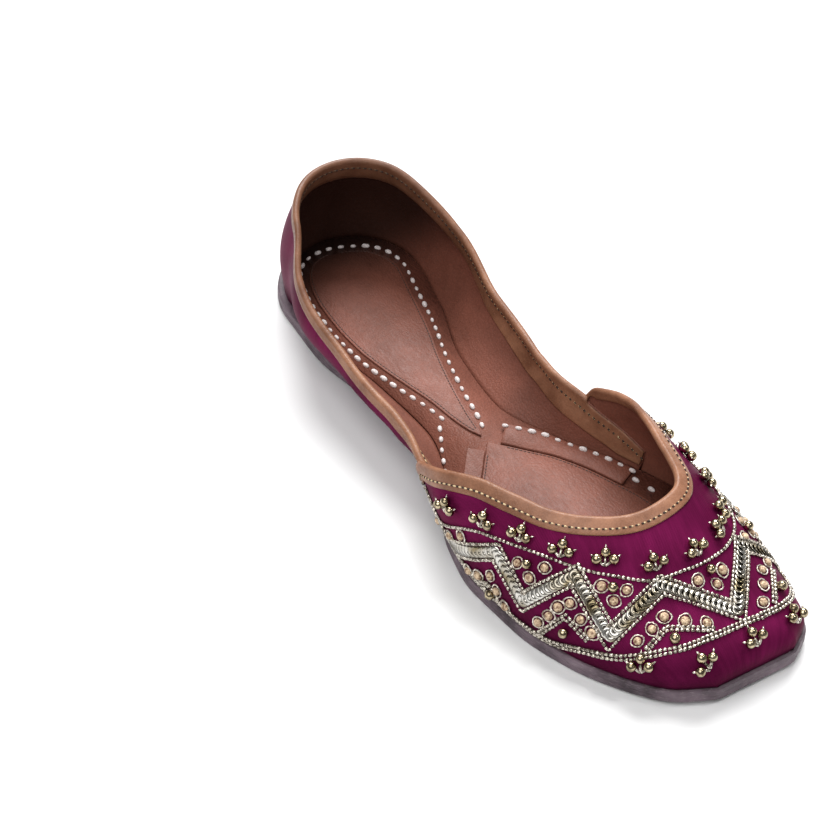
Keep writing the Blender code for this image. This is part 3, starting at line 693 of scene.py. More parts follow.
# The quarter: heel and sides, wing to wing.
QUARTER_STATIONS = np.concatenate([
    HEEL_SEAT * (1 - np.cos(np.linspace(0.0, math.pi / 2, 26)))[:-1],
    np.linspace(HEEL_SEAT, QUARTER_END, 84),
])
QUARTER_DENTS = (
    # Slack folds of the quarter beside the arch and over the heel's curve.
    (-34, 70, 14, -38, 52, 24, 3.2, 0.45), (-30, 88, 12, -36, 74, 26, 3.0, 0.35),
    (-28, 30, 10, -33, 14, 22, 3.5, 0.40), (22, 66, 12, 27, 48, 24, 3.2, 0.45),
    (22, 92, 14, 24, 78, 30, 3.2, 0.35), (16, 24, 10, 24, 8, 22, 3.4, 0.35),
)
walk = [(s, -1) for s in QUARTER_STATIONS[:0:-1]] + [(s, 1) for s in QUARTER_STATIONS]
quarter_columns = [QuarterColumn(station, side) for station, side in walk]
levels = np.sin(np.linspace(0.0, math.pi / 2, 21))
rings, ring_uv, run = [], [], 0.0
for i, (column, (station, _)) in enumerate(zip(quarter_columns, walk)):
    if i:
        run += float(np.linalg.norm(column.foot - quarter_columns[i - 1].foot))
    top = column.top + float(top_rise(station))
    heights = column.base + (top - column.base) * levels
    outer = np.array([column.at(0.0, z) for z in heights])
    outward = np.tile([*column.outward, 0.0], (len(outer), 1))
    outer = dented(outer, outward, QUARTER_DENTS)
    inner = np.array([column.at(float(wall_at(top - z)), z) for z in heights[::-1]])
    rings.append(np.vstack([outer, inner]))
    ring_uv.append([(run, z) for z in heights] + [(run, z) for z in heights[::-1]])
quarter_mesh = shell("quarter_wall", rings, len(levels), ring_uv)
finish_piece("quarter_wall", quarter_mesh, [satin, lining_leather], "cloth", "upper")

# The vamp: from its edge round the opening down to the sole, both wings included.
VAMP_COLUMNS = 260
VAMP_DENTS = (
    # Puckers where the cloth is gathered under the toe, then a slack fold in each wing.
    (8, -122, 7, 4, -116, 15, 1.8, 0.45), (-4, -119, 7, -6, -112, 14, 1.8, 0.35),
    (20, -123, 7, 19, -117, 15, 2.0, 0.45), (31, -118, 7, 27, -112, 15, 2.0, 0.40),
    (-16, -112, 7, -14, -105, 14, 1.8, 0.30), (-36, -36, 9, -33, -22, 20, 3.5, 0.45),
    (33, -32, 9, 27, -18, 20, 3.5, 0.45), (38, -104, 7, 34, -101, 14, 1.8, 0.30),
)


def collar_line():
    """Flat spots of the vamp's edge, from the left wing's end round the throat to the right one."""
    stations = WING_END + (THROAT - WING_END) * np.sin(np.linspace(0.0, math.pi / 2, 160))
    lines = []
    for side in (-1, 1):
        y = y_of(stations)
        wide = foot_half(side, y) * np.sqrt(smooth(COLLAR, SIDE[side], stations))
        wide *= 1 + WING_FLARE * (1 - ramp(stations, WING_END, WING_END + WING_FLARE_RUN))
        lines.append(np.stack([centre(stations) + side * wide, y], axis=1))
    return np.vstack([lines[0], lines[1][-2::-1]])


def vamp_lines(columns):
    """Flat lines of the vamp's edge at the opening and of its foot, left wing to right wing."""
    edge = collar_line()
    far = run_along(last(edge))
    shares = np.linspace(0.0, far[-1], columns + 1)
    edge = np.stack([np.interp(shares, far, edge[:, k]) for k in (0, 1)], axis=1)
    y_rear = y_of(WING_END)
    rear = [
        (float(centre(WING_END)) + side * float(foot_half(side, y_rear)), y_rear) for side in (-1, 1)
    ]
    left, right = (FEET[side][FEET[side][:, 1] < y_rear] for side in (-1, 1))
    foot = np.vstack([[rear[0]], left, right[-2::-1], [rear[1]]])
    return edge, resampled(foot, np.linspace(0.0, 1.0, columns + 1))


edge, foot = vamp_lines(VAMP_COLUMNS)
rows = np.linspace(0.0, 1.0, 46)[:-1] ** 1.3
outer_rows, inner_rows, flat_rows, down = [], [], [], 0.0
for share in rows:
    spots = edge + (foot - edge) * share
    places, normals = last(spots), last_normal(spots)
    down = down + (np.linalg.norm(places - previous, axis=1) if share else np.zeros(len(edge)))
    previous = places
    outer_rows.append(dented(places + normals * VAMP_STEP, normals, VAMP_DENTS))
    inner_rows.append(places + normals * (VAMP_STEP - wall_at(down))[:, None])
    flat_rows.append(spots)
flat_rows.append(foot)
level = last_normal(edge + (foot - edge) * 0.995)
level[:, 2] = 0.0
level = unit(level)
for line, out in ((outer_rows, VAMP_STEP), (inner_rows, VAMP_STEP - WALL)):
    spots = foot + level[:, :2] * out
    line.append(np.column_stack([spots, seat(spots[:, 1])]))
rings = np.stack(outer_rows + inner_rows[::-1], axis=1)
outer_uv = np.array(flat_rows)
ring_uv = np.concatenate([outer_uv, outer_uv[::-1]]).transpose(1, 0, 2)
vamp_mesh = shell("vamp_wall", rings, len(outer_rows), ring_uv)
finish_piece("vamp_wall", vamp_mesh, [satin, lining_leather], "cloth", "upper")


# Bindings. Tan goat leather strips, pared thin and folded over the cut edges: one rolls over the
# quarter's topline and is faced inside, the other goes round the vamp's throat and both wings.
STRIP = 0.0006
LAID = 0.0001
FOLD_DROP = 0.0010
VAMP_STRIP = 0.0050
VAMP_TURN = 0.0050
QUARTER_ROLL = 0.0024
QUARTER_FACING = 0.0085
FOLD_RADIUS = EDGE / 2 + LAID + STRIP / 2
BEND = math.pi * FOLD_RADIUS

# Vegetable tanned strip: warm tan, creased fine across the roll, glossy where fingers pull it, and
# painted darker towards the heel as shade.
strip_leather, tree, shader = surface("tan_binding_leather")
place = object_place(tree)
cloud = noise(tree, place, 90.0, 5.0, Roughness=0.62)
grain = add(tree, "ShaderNodeTexVoronoi", {"feature": "F1"}, {"Vector": place, "Scale": 1700.0})
crease = noise(tree, place, 330.0, 2.0, Distortion=2.2)
tone = two_tone(tree, cloud, 0.30, "#714934", 0.70, "#A07156")
pore = remapped(tree, grain.outputs["Distance"], (0.0, 0.8, 1.03, 0.90))
shade = blended(tree, 1.0, tone, pore, "MULTIPLY")
# Painted shade: the strip darkens towards the heel.
spot = add(tree, "ShaderNodeSeparateXYZ", {}, {"Vector": place})
painted_heel_shade = remapped(tree, spot.outputs["Y"], (0.030, 0.105, 0.0, 0.38), "SMOOTHSTEP")
tone_with_painted_shade = blended(tree, painted_heel_shade, shade, colour("#3A2015"))
coloured(tree, shader, tone_with_painted_shade)
plain(shader, {"Specular IOR Level": 0.30})
gloss = remapped(tree, crease, (0.3, 0.7, 0.34, 0.50))
tree.links.new(gloss, shader.inputs["Roughness"])
height = add(tree, "ShaderNodeMath", {"operation": "MULTIPLY_ADD"}, {
    0: grain.outputs["Distance"], 1: -0.5, 2: crease,
})
bumped(tree, shader, height.outputs[0], 0.28, 0.0004)


def wrap(along, off):
    """A spot on a strip folded over an edge: how far down from the edge, and out from the wall."""
    if along < 0:
        return -along, FOLD_RADIUS + off
    if along < BEND:
        turn = along / FOLD_RADIUS
        return -(FOLD_RADIUS + off) * math.sin(turn), (FOLD_RADIUS + off) * math.cos(turn)
    return along - BEND, -(FOLD_RADIUS + off + float(wall_at(along - BEND)) - EDGE)


def strip_runs(outside, inside):
    """Runs along a folded strip, closer together over the fold and at its pared ends."""
    over = list(BEND * np.linspace(0.0, 1.0, 11))
    return list(-outside * np.array([1.0, 0.93, 0.66, 0.33])) + over + list(
        BEND + inside * np.array([0.33, 0.66, 0.95, 1.0])
    )


def strip_spots(runs, outside, inside):
    """(run, offset) round a strip's section: the outer face, then back along the inner one."""
    outer = []
    for run in runs:
        pared = min((run + outside) / 0.0006, (BEND + inside - run) / 0.0006, 1.0)
        outer.append((run, STRIP * (0.15 + 0.35 * math.sqrt(max(pared, 0.0)))))
    return outer + [(run, -STRIP / 2) for run in reversed(runs)]


fold_end, fold_start = WING_END + 0.014, WING_END + 0.001
strip_stations = np.concatenate([
    HEEL_SEAT * (1 - np.cos(np.linspace(0.0, math.pi / 2, 26)))[:-1],
    np.linspace(HEEL_SEAT, fold_start, 64)[:-1], np.linspace(fold_start, fold_end, 16)[:-1],
    np.linspace(fold_end, QUARTER_END, 18),
])
strip_walk = [(s, -1) for s in strip_stations[:0:-1]] + [(s, 1) for s in strip_stations]
rings, facing_line, facing_out = [], [], []
for station, side in strip_walk:
    column = QuarterColumn(station, side)
    share = float(np.clip((station - fold_start) / (fold_end - fold_start), 0.0, 1.0))
    top = column.top + float(top_rise(station))
    inside = min(QUARTER_FACING, top - float(sock_floor(y_of(station))) - BAND - 2 * GAP)
    whole = np.array(strip_runs(QUARTER_ROLL, inside))
    leaf = BEND + inside * np.linspace(0.0, 1.0, len(whole))
    runs = whole + (leaf - whole) * share
    ring = []
    for run, off in strip_spots(list(runs), QUARTER_ROLL * (1 - share) - BEND * share, inside):
        down, out = wrap(run, off)
        ring.append(column.at(EDGE / 2 - out, top - down))
    rings.append(ring)
    down, out = wrap(BEND + 0.0026, STRIP / 2)
    facing_line.append(column.at(EDGE / 2 - out, top - down))
    facing_out.append([*(-column.outward), 0.0])
strip_uv = np.zeros((len(rings), len(rings[0]), 2))
quarter_strip = shell("quarter_binding_strip", rings, len(rings[0]), strip_uv)
strip_finishes = [strip_leather, strip_leather]
finish_piece("quarter_binding_strip", quarter_strip, strip_finishes, "binding", "quarter_binding")

edge, _ = vamp_lines(190)
lifted, normals = last(edge), last_normal(edge)
heading = unit(np.cross(normals, np.gradient(lifted, axis=0)))
flip = np.where(np.abs(heading[:, 1]) > np.abs(heading[:, 2]), heading[:, 1], heading[:, 2]) > 0
heading[flip] *= -1
stations = station_of(edge[:, 1])
room = lifted[:, 2] - topline_height(stations) - FOLD_DROP - 3 * GAP
room = np.where(stations > QUARTER_END, VAMP_TURN, room)
turned_in = np.clip(room, GAP, VAMP_TURN * 0.5)
reach_down = np.linspace(0.0, 1.0, 9)
walk_out = [edge]
for a, b in zip(reach_down, reach_down[1:]):
    walk_out.append(walked(walk_out[-1], heading, VAMP_STRIP * (b - a)))
strip_places = np.array([last(spots) for spots in walk_out])
strip_normals = np.array([last_normal(spots) for spots in walk_out])


def vamp_strip_point(i, down, out):
    """A point of the vamp's binding in column i, down from the edge and out from the wall's middle."""
    middle = VAMP_STEP - EDGE / 2
    if down <= 0:
        return lifted[i] + heading[i] * down + normals[i] * (middle + out)
    at = np.clip(down / VAMP_STRIP, 0.0, 1.0) * (len(reach_down) - 1)
    k = min(int(at), len(reach_down) - 2)
    base = strip_places[k, i] + (strip_places[k + 1, i] - strip_places[k, i]) * (at - k)
    up = unit(strip_normals[k, i] + (strip_normals[k + 1, i] - strip_normals[k, i]) * (at - k))
    return base + up * (middle + out)


rings, thread_line, thread_out = [], [], []
for i in range(len(edge)):
    runs = strip_runs(VAMP_STRIP, turned_in[i])
    spots = strip_spots(runs, VAMP_STRIP, turned_in[i])
    rings.append([vamp_strip_point(i, *wrap(run, off)) for run, off in spots])
    thread_line.append(vamp_strip_point(i, *wrap(-0.0030, STRIP / 2)))
    thread_out.append(strip_normals[5, i])
strip_uv = np.zeros((len(rings), len(rings[0]), 2))
vamp_strip = shell("vamp_binding_strip", rings, len(rings[0]), strip_uv)
finish_piece("vamp_binding_strip", vamp_strip, strip_finishes, "binding", "vamp_binding")


# Stitches. Thick white cotton round the insole's rim, which holds the upper to the sole, and fine
# beige thread along both bindings.
def setting_tree(name, follows):
    """Node tree that sets copies of a unit on points, or at a spacing along lines, standing on "out"."""
    group = bpy.data.node_groups.new(name, "GeometryNodeTree")
    group.interface.new_socket("Geometry", in_out="OUTPUT", socket_type="NodeSocketGeometry")
    for label, kind in (
        ("Geometry", "Geometry"), ("Unit", "Object"), ("Spacing", "Float"), ("Size", "Float"),
        ("Wobble", "Float"), ("Seed", "Int"), ("Finish", "Material"),
    ):
        group.interface.new_socket(label, in_out="INPUT", socket_type="NodeSocket" + kind)
    given = add(group, "NodeGroupInput", {}, {}).outputs
    points = given["Geometry"]
    if follows:
        line = add(group, "GeometryNodeMeshToCurve", {}, {"Mesh": points})
        paced = add(group, "GeometryNodeResampleCurve", {"mode": "LENGTH"}, {
            "Curve": line.outputs[0], "Length": given["Spacing"],
        })
        points = paced.outputs[0]
        along = add(group, "GeometryNodeInputTangent", {}, {}).outputs[0]
    else:
        along = add(group, "GeometryNodeInputNamedAttribute", {"data_type": "FLOAT_VECTOR"}, {
            "Name": "along",
        }).outputs[0]
    out = add(group, "GeometryNodeInputNamedAttribute", {"data_type": "FLOAT_VECTOR"}, {"Name": "out"})
    turned = add(group, "FunctionNodeAxesToRotation", {"primary_axis": "Z", "secondary_axis": "X"}, {
        0: out.outputs[0], 1: along,
    })
    least = add(group, "ShaderNodeMath", {"operation": "SUBTRACT"}, {0: 1.0, 1: given["Wobble"]})
    most = add(group, "ShaderNodeMath", {"operation": "ADD"}, {0: 1.0, 1: given["Wobble"]})
    chance = add(group, "FunctionNodeRandomValue", {"data_type": "FLOAT"}, {
        2: least.outputs[0], 3: most.outputs[0], "Seed": given["Seed"],
    })
    scale = add(group, "ShaderNodeMath", {"operation": "MULTIPLY"}, {
        0: given["Size"], 1: chance.outputs[1],
    })
    shape = add(group, "GeometryNodeObjectInfo", {}, {"Object": given["Unit"]})
    copies = add(group, "GeometryNodeInstanceOnPoints", {}, {
        "Points": points, "Instance": shape.outputs["Geometry"], "Rotation": turned.outputs[0],
        "Scale": scale.outputs[0],
    })
    solid = add(group, "GeometryNodeRealizeInstances", {}, {"Geometry": copies.outputs[0]})
    painted = add(group, "GeometryNodeSetMaterial", {}, {
        "Geometry": solid.outputs[0], "Material": given["Finish"],
    })
    add(group, "NodeGroupOutput", {}, {"Geometry": painted.outputs[0]})
    return group


threaded = setting_tree("threaded_along", True)
placed = setting_tree("placed_on_points", False)


def strewn(
    name, group, slot, lines, outs, alongs, unit_mesh, finish, spacing=0.001, size=1.0, wobble=0.0, seed=1
):
    """A piece of many small units: lines is a list of point arrays, with outs (and alongs) to match."""
    points = np.vstack(lines)
    edges, start = [], 0
    for line in lines:
        if group is threaded:
            edges += [(start + i, start + i + 1) for i in range(len(line) - 1)]
        start += len(line)
    guide = bpy.data.meshes.new(name + "_guide")
    guide.from_pydata([tuple(point) for point in points], edges, [])
    for label, values in (("out", outs), ("along", alongs)):
        if values is not None:
            data = guide.attributes.new(label, "FLOAT_VECTOR", "POINT").data
            data.foreach_set("vector", np.vstack(values).astype(np.float32).ravel())
    carrier = bpy.data.objects.new(name + "_guide", guide)
    sample = bpy.data.objects.new(name + "_unit", unit_mesh)
    for helper in (carrier, sample):
        bpy.context.scene.collection.objects.link(helper)
    setter = carrier.modifiers.new("units", "NODES")
    setter.node_group = group
    values = {
        "Unit": sample, "Spacing": spacing, "Size": size, "Wobble": wobble, "Seed": seed, "Finish": finish,
    }
    for item in group.interface.items_tree:
        if item.in_out == "INPUT" and item.name in values:
            setter[item.identifier] = values[item.name]
    bpy.context.view_layer.update()
    graph = bpy.context.evaluated_depsgraph_get()
    made = bpy.data.meshes.new_from_object(carrier.evaluated_get(graph))
    made.name = name
    made.materials.clear()
    for helper in (carrier, sample):
        bpy.data.objects.remove(helper, do_unlink=True)
    return finish_piece(name, made, [finish], slot)


def lathe(name, profile, sides, axis="X"):
    """Small closed unit turned round an axis from (along, radius) pairs, mm; its ends are on the axis."""
    points = [(profile[0][0] / 1000, 0.0, 0.0)]
    for along, radius in profile[1:-1]:
        for k in range(sides):
            turn = 2 * math.pi * k / sides
            points.append((along / 1000, radius / 1000 * math.cos(turn), radius / 1000 * math.sin(turn)))
    points.append((profile[-1][0] / 1000, 0.0, 0.0))
    rows = len(profile) - 2
    faces = [(0, 1 + (k + 1) % sides, 1 + k) for k in range(sides)]
    for r in range(rows - 1):
        a, b = 1 + r * sides, 1 + (r + 1) * sides
        faces += [(a + k, a + (k + 1) % sides, b + (k + 1) % sides, b + k) for k in range(sides)]
    a, tip = 1 + (rows - 1) * sides, len(points) - 1
    faces += [(a + k, a + (k + 1) % sides, tip) for k in range(sides)]
    if axis == "Z":
        points = [(-z, y, x) for x, y, z in points]
    mesh = closed_mesh(name, points, faces)
    mesh.shade_smooth()
    return mesh


def speckled(name, grain, tones, values, relief=None):
    """A new material flecked with two tones: grain is (scale, detail), relief (strength, metres)."""
    made, tree, shader = surface(name)
    flecks = noise(tree, object_place(tree), *grain)
    coloured(tree, shader, two_tone(tree, flecks, *tones))
    plain(shader, values)
    if relief:
        bumped(tree, shader, flecks, *relief)
    return made


# Waxed cotton, white: soft, matt, a little fuzzy.
cotton = speckled(
    "waxed_cotton_thread", (2600.0, 2.0), (0.3, "#A89B98", 0.6, "#E4DCDA"),
    {"Roughness": 0.75}, (0.4, 0.0002),
)

STITCH_PITCH = 0.0046
stitch_unit = lathe("stitch", [
    (-1.3, 0), (-1.2, 0.38), (-0.7, 0.72), (0, 0.80), (0.7, 0.70), (1.2, 0.36), (1.3, 0)
], 10)
RIM = (
    # Across and share of the length, from the left end of the tongue round the heel, mm.
    (-15.1, 0.430), (-16.6, 0.404), (-20.4, 0.356), (-23.6, 0.308), (-25.8, 0.26), (-26.4, 0.20),
    (-26.1, 0.15), (-25.3, 0.121), (-23.6, 0.090), (-20.6, 0.062), (-15.8, 0.043), (-9.6, 0.037),
    (-4.4, 0.038), (2.3, 0.048), (7.4, 0.058), (11.6, 0.075), (14.2, 0.098), (14.9, 0.121),
    (13.6, 0.150), (12.2, 0.175), (9.4, 0.226), (6.1, 0.276), (3.0, 0.316), (0.0, 0.365),
    (-2.3, 0.413), (-3.4, 0.445), (-4.6, 0.468),
)
LEFT_TURN = ((-18.2, 0.446), (-19.5, 0.457), (-22.3, 0.478), (-24.6, 0.498), (-26.8, 0.518))
TOE_TURN = ((27.6, 0.655), (29.8, 0.681), (31.6, 0.705))
rim_lines = []
for row in (RIM, LEFT_TURN, TOE_TURN):
    spots = eased(row, 200)
    rim_lines.append(np.column_stack([spots, insole_top(spots[:, 1]) + 0.0002]))
near, far = band_sides[1]
spots = far - (far - near) * 0.14
rim_lines.append(np.column_stack([spots, sock_floor(spots[:, 1]) + BAND]))
outs = [np.tile([0.0, 0.0, 1.0], (len(line), 1)) for line in rim_lines]
strewn(
    "rim_stitches", threaded, "lining", rim_lines, outs, None, stitch_unit, cotton,
    spacing=STITCH_PITCH, wobble=0.22,
)

# Sewing thread on the bindings: pale beige, painted dark towards the heel as shade, with the needle
# holes dark between the stitches.
sewing_thread, tree, shader = surface("beige_sewing_thread")
place = object_place(tree)
# Painted shade: the thread darkens towards the heel.
spot = add(tree, "ShaderNodeSeparateXYZ", {}, {"Vector": place})
painted_heel_shade = remapped(tree, spot.outputs["Y"], (0.030, 0.080, 0.0, 0.85), "SMOOTHSTEP")
thread_with_painted_shade = blended(tree, painted_heel_shade, colour("#CDB58C"), colour("#3A2015"))
coloured(tree, shader, thread_with_painted_shade)
plain(shader, {"Roughness": 0.5})
needle_hole, _, shader = surface("needle_hole_shade")
plain(shader, {"Base Color": colour("#33221B"), "Roughness": 0.8})
fine_stitch = lathe("fine_stitch", [
    (-0.66, 0), (-0.58, 0.18), (-0.2, 0.29), (0.2, 0.29), (0.58, 0.18), (0.66, 0)
], 6)
hole_unit = lathe("needle_hole", [(-0.50, 0), (-0.40, 0.33), (0.40, 0.33), (0.50, 0)], 6)
thread_line, thread_out = np.array(thread_line), np.array(thread_out)
facing_line, facing_out = np.array(facing_line), np.array(facing_out)
THREAD_PITCH = 0.0021
for label, unit_mesh, finish, shift in (
    ("threads", fine_stitch, sewing_thread, 0.0), ("needle_holes", hole_unit, needle_hole, 0.5),
):
    lines, outs = [], []
    for line, out in ((thread_line, thread_out), (facing_line, facing_out)):
        far = run_along(line)
        kept = np.linspace(shift * THREAD_PITCH / far[-1], 1.0, 400)
        for rows, kinds in ((lines, line), (outs, out)):
            rows.append(np.stack([np.interp(kept * far[-1], far, row) for row in kinds.T], axis=1))
    strewn(
        "binding_" + label, threaded, "binding", lines, outs, None, unit_mesh, finish,
        spacing=THREAD_PITCH, wobble=0.08,
    )


# The socks are run down near their edges with a dark thread.
sock_thread, _, shader = surface("brown_sewing_thread")
plain(shader, {"Base Color": colour("#3B2219"), "Roughness": 0.6})
lines = []
for (left, right), thick in ((heel_sides, HEEL_PARED), (fore_sides, FORE_PARED)):
    middle = (left + right) / 2
    for line in (left, right):
        spots = (line + unit(middle - line) * 0.0010)[3:-3]
        lines.append(np.column_stack([spots, sock_floor(spots[:, 1]) + thick - 0.00012]))
outs = [np.tile([0.0, 0.0, 1.0], (len(line), 1)) for line in lines]
strewn("sock_seams", threaded, "lining", lines, outs, None, fine_stitch, sock_thread, spacing=0.0014)


# Embroidery grounds. Every place below is a spot of the foot's flat outline, in mm, that the last
# lifts onto the vamp; lines run straight over the cloth from one spot to the next.
CLOTH = VAMP_STEP + 0.0001


def laid(spots_mm, spacing=0.0012):
    """Spots close together along lines that run straight over the cloth between the given ones."""
    spots = np.array(spots_mm, float) / 1000
    runs = []
    for start, end in zip(spots, spots[1:]):
        a, b = last(start)[0], last(end)[0]
        count = max(int(np.linalg.norm(b - a) / spacing), 3)
        share = np.linspace(0.0, 1.0, count + 1)[:, None]
        run = start + (end - start) * share
        for _ in range(4):
            normal = last_normal(run)
            sideways = unit(np.cross(b - a, normal))
            off = ((last(run) - a - (b - a) * share) * sideways).sum(1)
            onward = unit(b - a)
            lag = ((last(run) - a - (b - a) * share) * onward).sum(1)
            moves = -sideways * off[:, None] - onward * lag[:, None] * 0.7
            moves[0] = moves[-1] = 0.0
            run = nudged(run, moves)
        runs.append(run[:-1])
    return np.vstack(runs + [spots[-1:]])


def flowing(spots_mm, count=160):
    """Spots close together on a smooth line through the given ones."""
    spots = np.array(spots_mm, float) / 1000
    far = run_along(last(spots))
    far /= far[-1]
    table = {"station": far, "x": spots[:, 0], "y": spots[:, 1]}
    at = np.linspace(0.0, 1.0, count)
    return np.stack([smooth(table, "x", at), smooth(table, "y", at)], axis=1)


def lifted_line(spots, off):
    """Places and outward directions of spots, standing this far off the cloth."""
    x, y = spots.T
    middle = centre(station_of(y))
    side = np.where(x >= middle, 1.0, -1.0)
    reach = np.where(side > 0, foot_half(1, y), foot_half(-1, y)) - 0.0007
    across = np.minimum(side * (x - middle), reach)
    spots = np.stack([middle + side * across, y], axis=1)
    normal = last_normal(spots)
    return last(spots) + normal * (CLOTH + off), normal


def beside(spots, distance):
    """The line beside a line, this far to its left over the cloth, mitred at its corners."""
    places, normal = last(spots), last_normal(spots)
    gone = unit(places - np.roll(places, 1, axis=0))
    gone[0] = unit(places[1] - places[0])
    coming = np.roll(gone, -1, axis=0)
    coming[-1] = gone[-1]
    side_gone, side_coming = unit(np.cross(normal, gone)), unit(np.cross(normal, coming))
    mitre = unit(side_gone + side_coming)
    stretch = np.clip(1 / np.maximum((mitre * side_gone).sum(1), 0.3), 1.0, 2.4)
    move = mitre * distance * stretch[:, None]
    out = spots
    for _ in range(4):
        out = nudged(out, move / 4)
    return out


# Metals of the embroidery. Antique gold balls: brass dipped and blackened, so their hollows are dark.
antique_gold = speckled(
    "antique_gold_plate", (700.0, 3.0), (0.35, "#6A5D48", 0.62, "#B9AB8E"),
    {"Metallic": 1.0, "Roughness": 0.13},
)

# Lined glass seed beads: silver-gold inside clear glass, so each one winks.
lined_bead = speckled(
    "silver_lined_glass_bead", (1100.0, 1.0), (0.38, "#6A6054", 0.60, "#D8D0C2"),
    {"Metallic": 0.85, "Roughness": 0.24, "Coat Weight": 0.6, "Coat Roughness": 0.08},
)

# Sequins: film with a thin metal coat, silver. Its flecks, a dark warm tone by turns with a pale
# cool one, are painted reflection.
sequin_film = speckled(
    "metal_coated_film", (130.0, 2.0), (0.36, "#7C7057", 0.60, "#C4C1BA"),
    {"Metallic": 1.0, "Roughness": 0.20},
)

# Wrapped gold thread, wound to a knot: cream gold, matt, ribbed.
knot_thread = speckled(
    "wrapped_gold_thread", (1200.0, 2.0), (0.34, "#7E5C44", 0.64, "#E2C8A6"),
    {"Roughness": 0.45, "Metallic": 0.15}, (1.0, 0.0006),
)


# Silvered wire, laid in small eyes round the knots: bright, a little soft in its gloss.
silver_wire = speckled(
    "silvered_wire", (900.0, 2.0), (0.36, "#9B8E7C", 0.60, "#EDE6DA"),
    {"Metallic": 0.7, "Roughness": 0.32},
)


# Borders and zigzag. Two lines of seed beads bound the embroidery, and between them a ribbon of
# overlapped sequins climbs and falls, with a line of seed beads sewn down on each side of it.
UPPER_BORDER = (
    (-27.6, -14.0), (-33.4, -27.6), (-27.7, -49.0), (-21.1, -64.4), (-14.8, -76.0), (-9.7, -82.8),
    (0.9, -92.5), (9.2, -93.6), (14.6, -92.3), (20.8, -87.0), (24.2, -80.1), (26.6, -66.0),
    (27.8, -50.0), (24.0, -34.0), (15.6, -15.0),
)
LOWER_BORDER = (
    (-30.2, -14.0), (-36.6, -32.0), (-38.6, -50.0), (-36.9, -67.0), (-32.6, -80.5), (-24.5, -91.6),
    (-15.6, -101.4), (-7.7, -105.7), (-0.3, -107.8), (13.1, -108.5), (20.1, -108.9), (26.1, -108.2),
    (34.0, -102.0), (38.6, -88.0), (39.4, -70.0), (36.4, -50.0), (28.8, -31.0), (19.2, -15.0),
)
ZIGZAG = (
    (-28.6, -16.0), (-37.0, -33.6), (-28.6, -54.3), (-30.6, -69.9), (-15.6, -77.8), (-15.0, -96.4),
    (0.4, -93.9), (12.2, -106.1), (21.2, -91.3), (37.6, -94.5), (27.6, -72.0), (36.8, -62.0),
    (27.8, -46.0), (28.6, -34.0), (19.2, -20.0),
)
SEED_PITCH = 0.00155
RIBBON_HALF = 0.0020
seed_bead = lathe("seed_bead", [
    (-0.70, 0), (-0.62, 0.46), (-0.36, 0.60), (0.36, 0.60), (0.62, 0.46), (0.70, 0)
], 8)
upper_border, lower_border = flowing(UPPER_BORDER), flowing(LOWER_BORDER, 220)
ribbon = laid(ZIGZAG)
bead_paths = [
    upper_border, lower_border, beside(lower_border, -0.0012),
]
for distance in (-RIBBON_HALF - 0.0006, RIBBON_HALF + 0.0006):
    bead_paths.append(beside(ribbon, distance))
lines, outs = zip(*[lifted_line(path, 0.0004) for path in bead_paths])
strewn(
    "seed_bead_lines", threaded, "cloth", lines, outs, None, seed_bead, lined_bead,
    spacing=SEED_PITCH, wobble=0.1,
)

# Each sequin is a shallow dish with a hole, tipped so that it rides over the one before.
SEQUIN = ((0.45, 0.00), (1.2, 0.02), (2.05, 0.08), (2.05, 0.14), (1.2, 0.09), (0.45, 0.08))
dish = []
for radius, up in SEQUIN:
    for k in range(14):
        turn = 2 * math.pi * k / 14
        x, y, z = radius * math.cos(turn), radius * math.sin(turn), up
        tip = math.radians(8)
        dish.append((
            (x * math.cos(tip) + z * math.sin(tip)) / 1000, y / 1000,
            (-x * math.sin(tip) + z * math.cos(tip) + 0.34) / 1000,
        ))
dish_faces = [
    (r * 14 + k, r * 14 + (k + 1) % 14, ((r + 1) % 6) * 14 + (k + 1) % 14, ((r + 1) % 6) * 14 + k)
    for r in range(6) for k in range(14)
]
sequin = closed_mesh("sequin", dish, dish_faces)
sequin.shade_smooth()
places, normals = lifted_line(ribbon, 0.0001)
strewn("sequin_ribbon", threaded, "cloth", [places], [normals], None, sequin, sequin_film, spacing=0.00185)


# Sprays and knots. Three metal balls on short beaded stems make each spray; coils of gold thread
# ringed with wire fill the triangles between the zigzag and the borders.
SPRAYS = (
    # Foot of the spray, then the spot that it points to, mm.
    (-8.9, -81.2, -6.9, -76.0), (-16.8, -71.0, -13.2, -67.2), (-22.9, -58.4, -18.8, -56.0),
    (-27.6, -46.0, -23.6, -44.4), (-30.0, -32.0, -26.2, -30.6), (0.7, -90.0, 0.5, -84.6),
    (9.9, -91.2, 8.6, -85.6), (18.0, -86.4, 14.0, -82.4), (22.2, -79.6, 17.6, -77.0),
    (24.6, -66.5, 20.2, -65.6), (25.6, -53.0, 21.4, -52.4), (25.4, -40.0, 21.4, -39.6),
    (23.4, -27.0, 19.6, -26.6), (-14.6, -107.2, -9.0, -102.6), (0.2, -115.4, -0.4, -110.0),
    (13.6, -115.2, 12.2, -109.6), (27.2, -114.8, 25.0, -109.8),
)
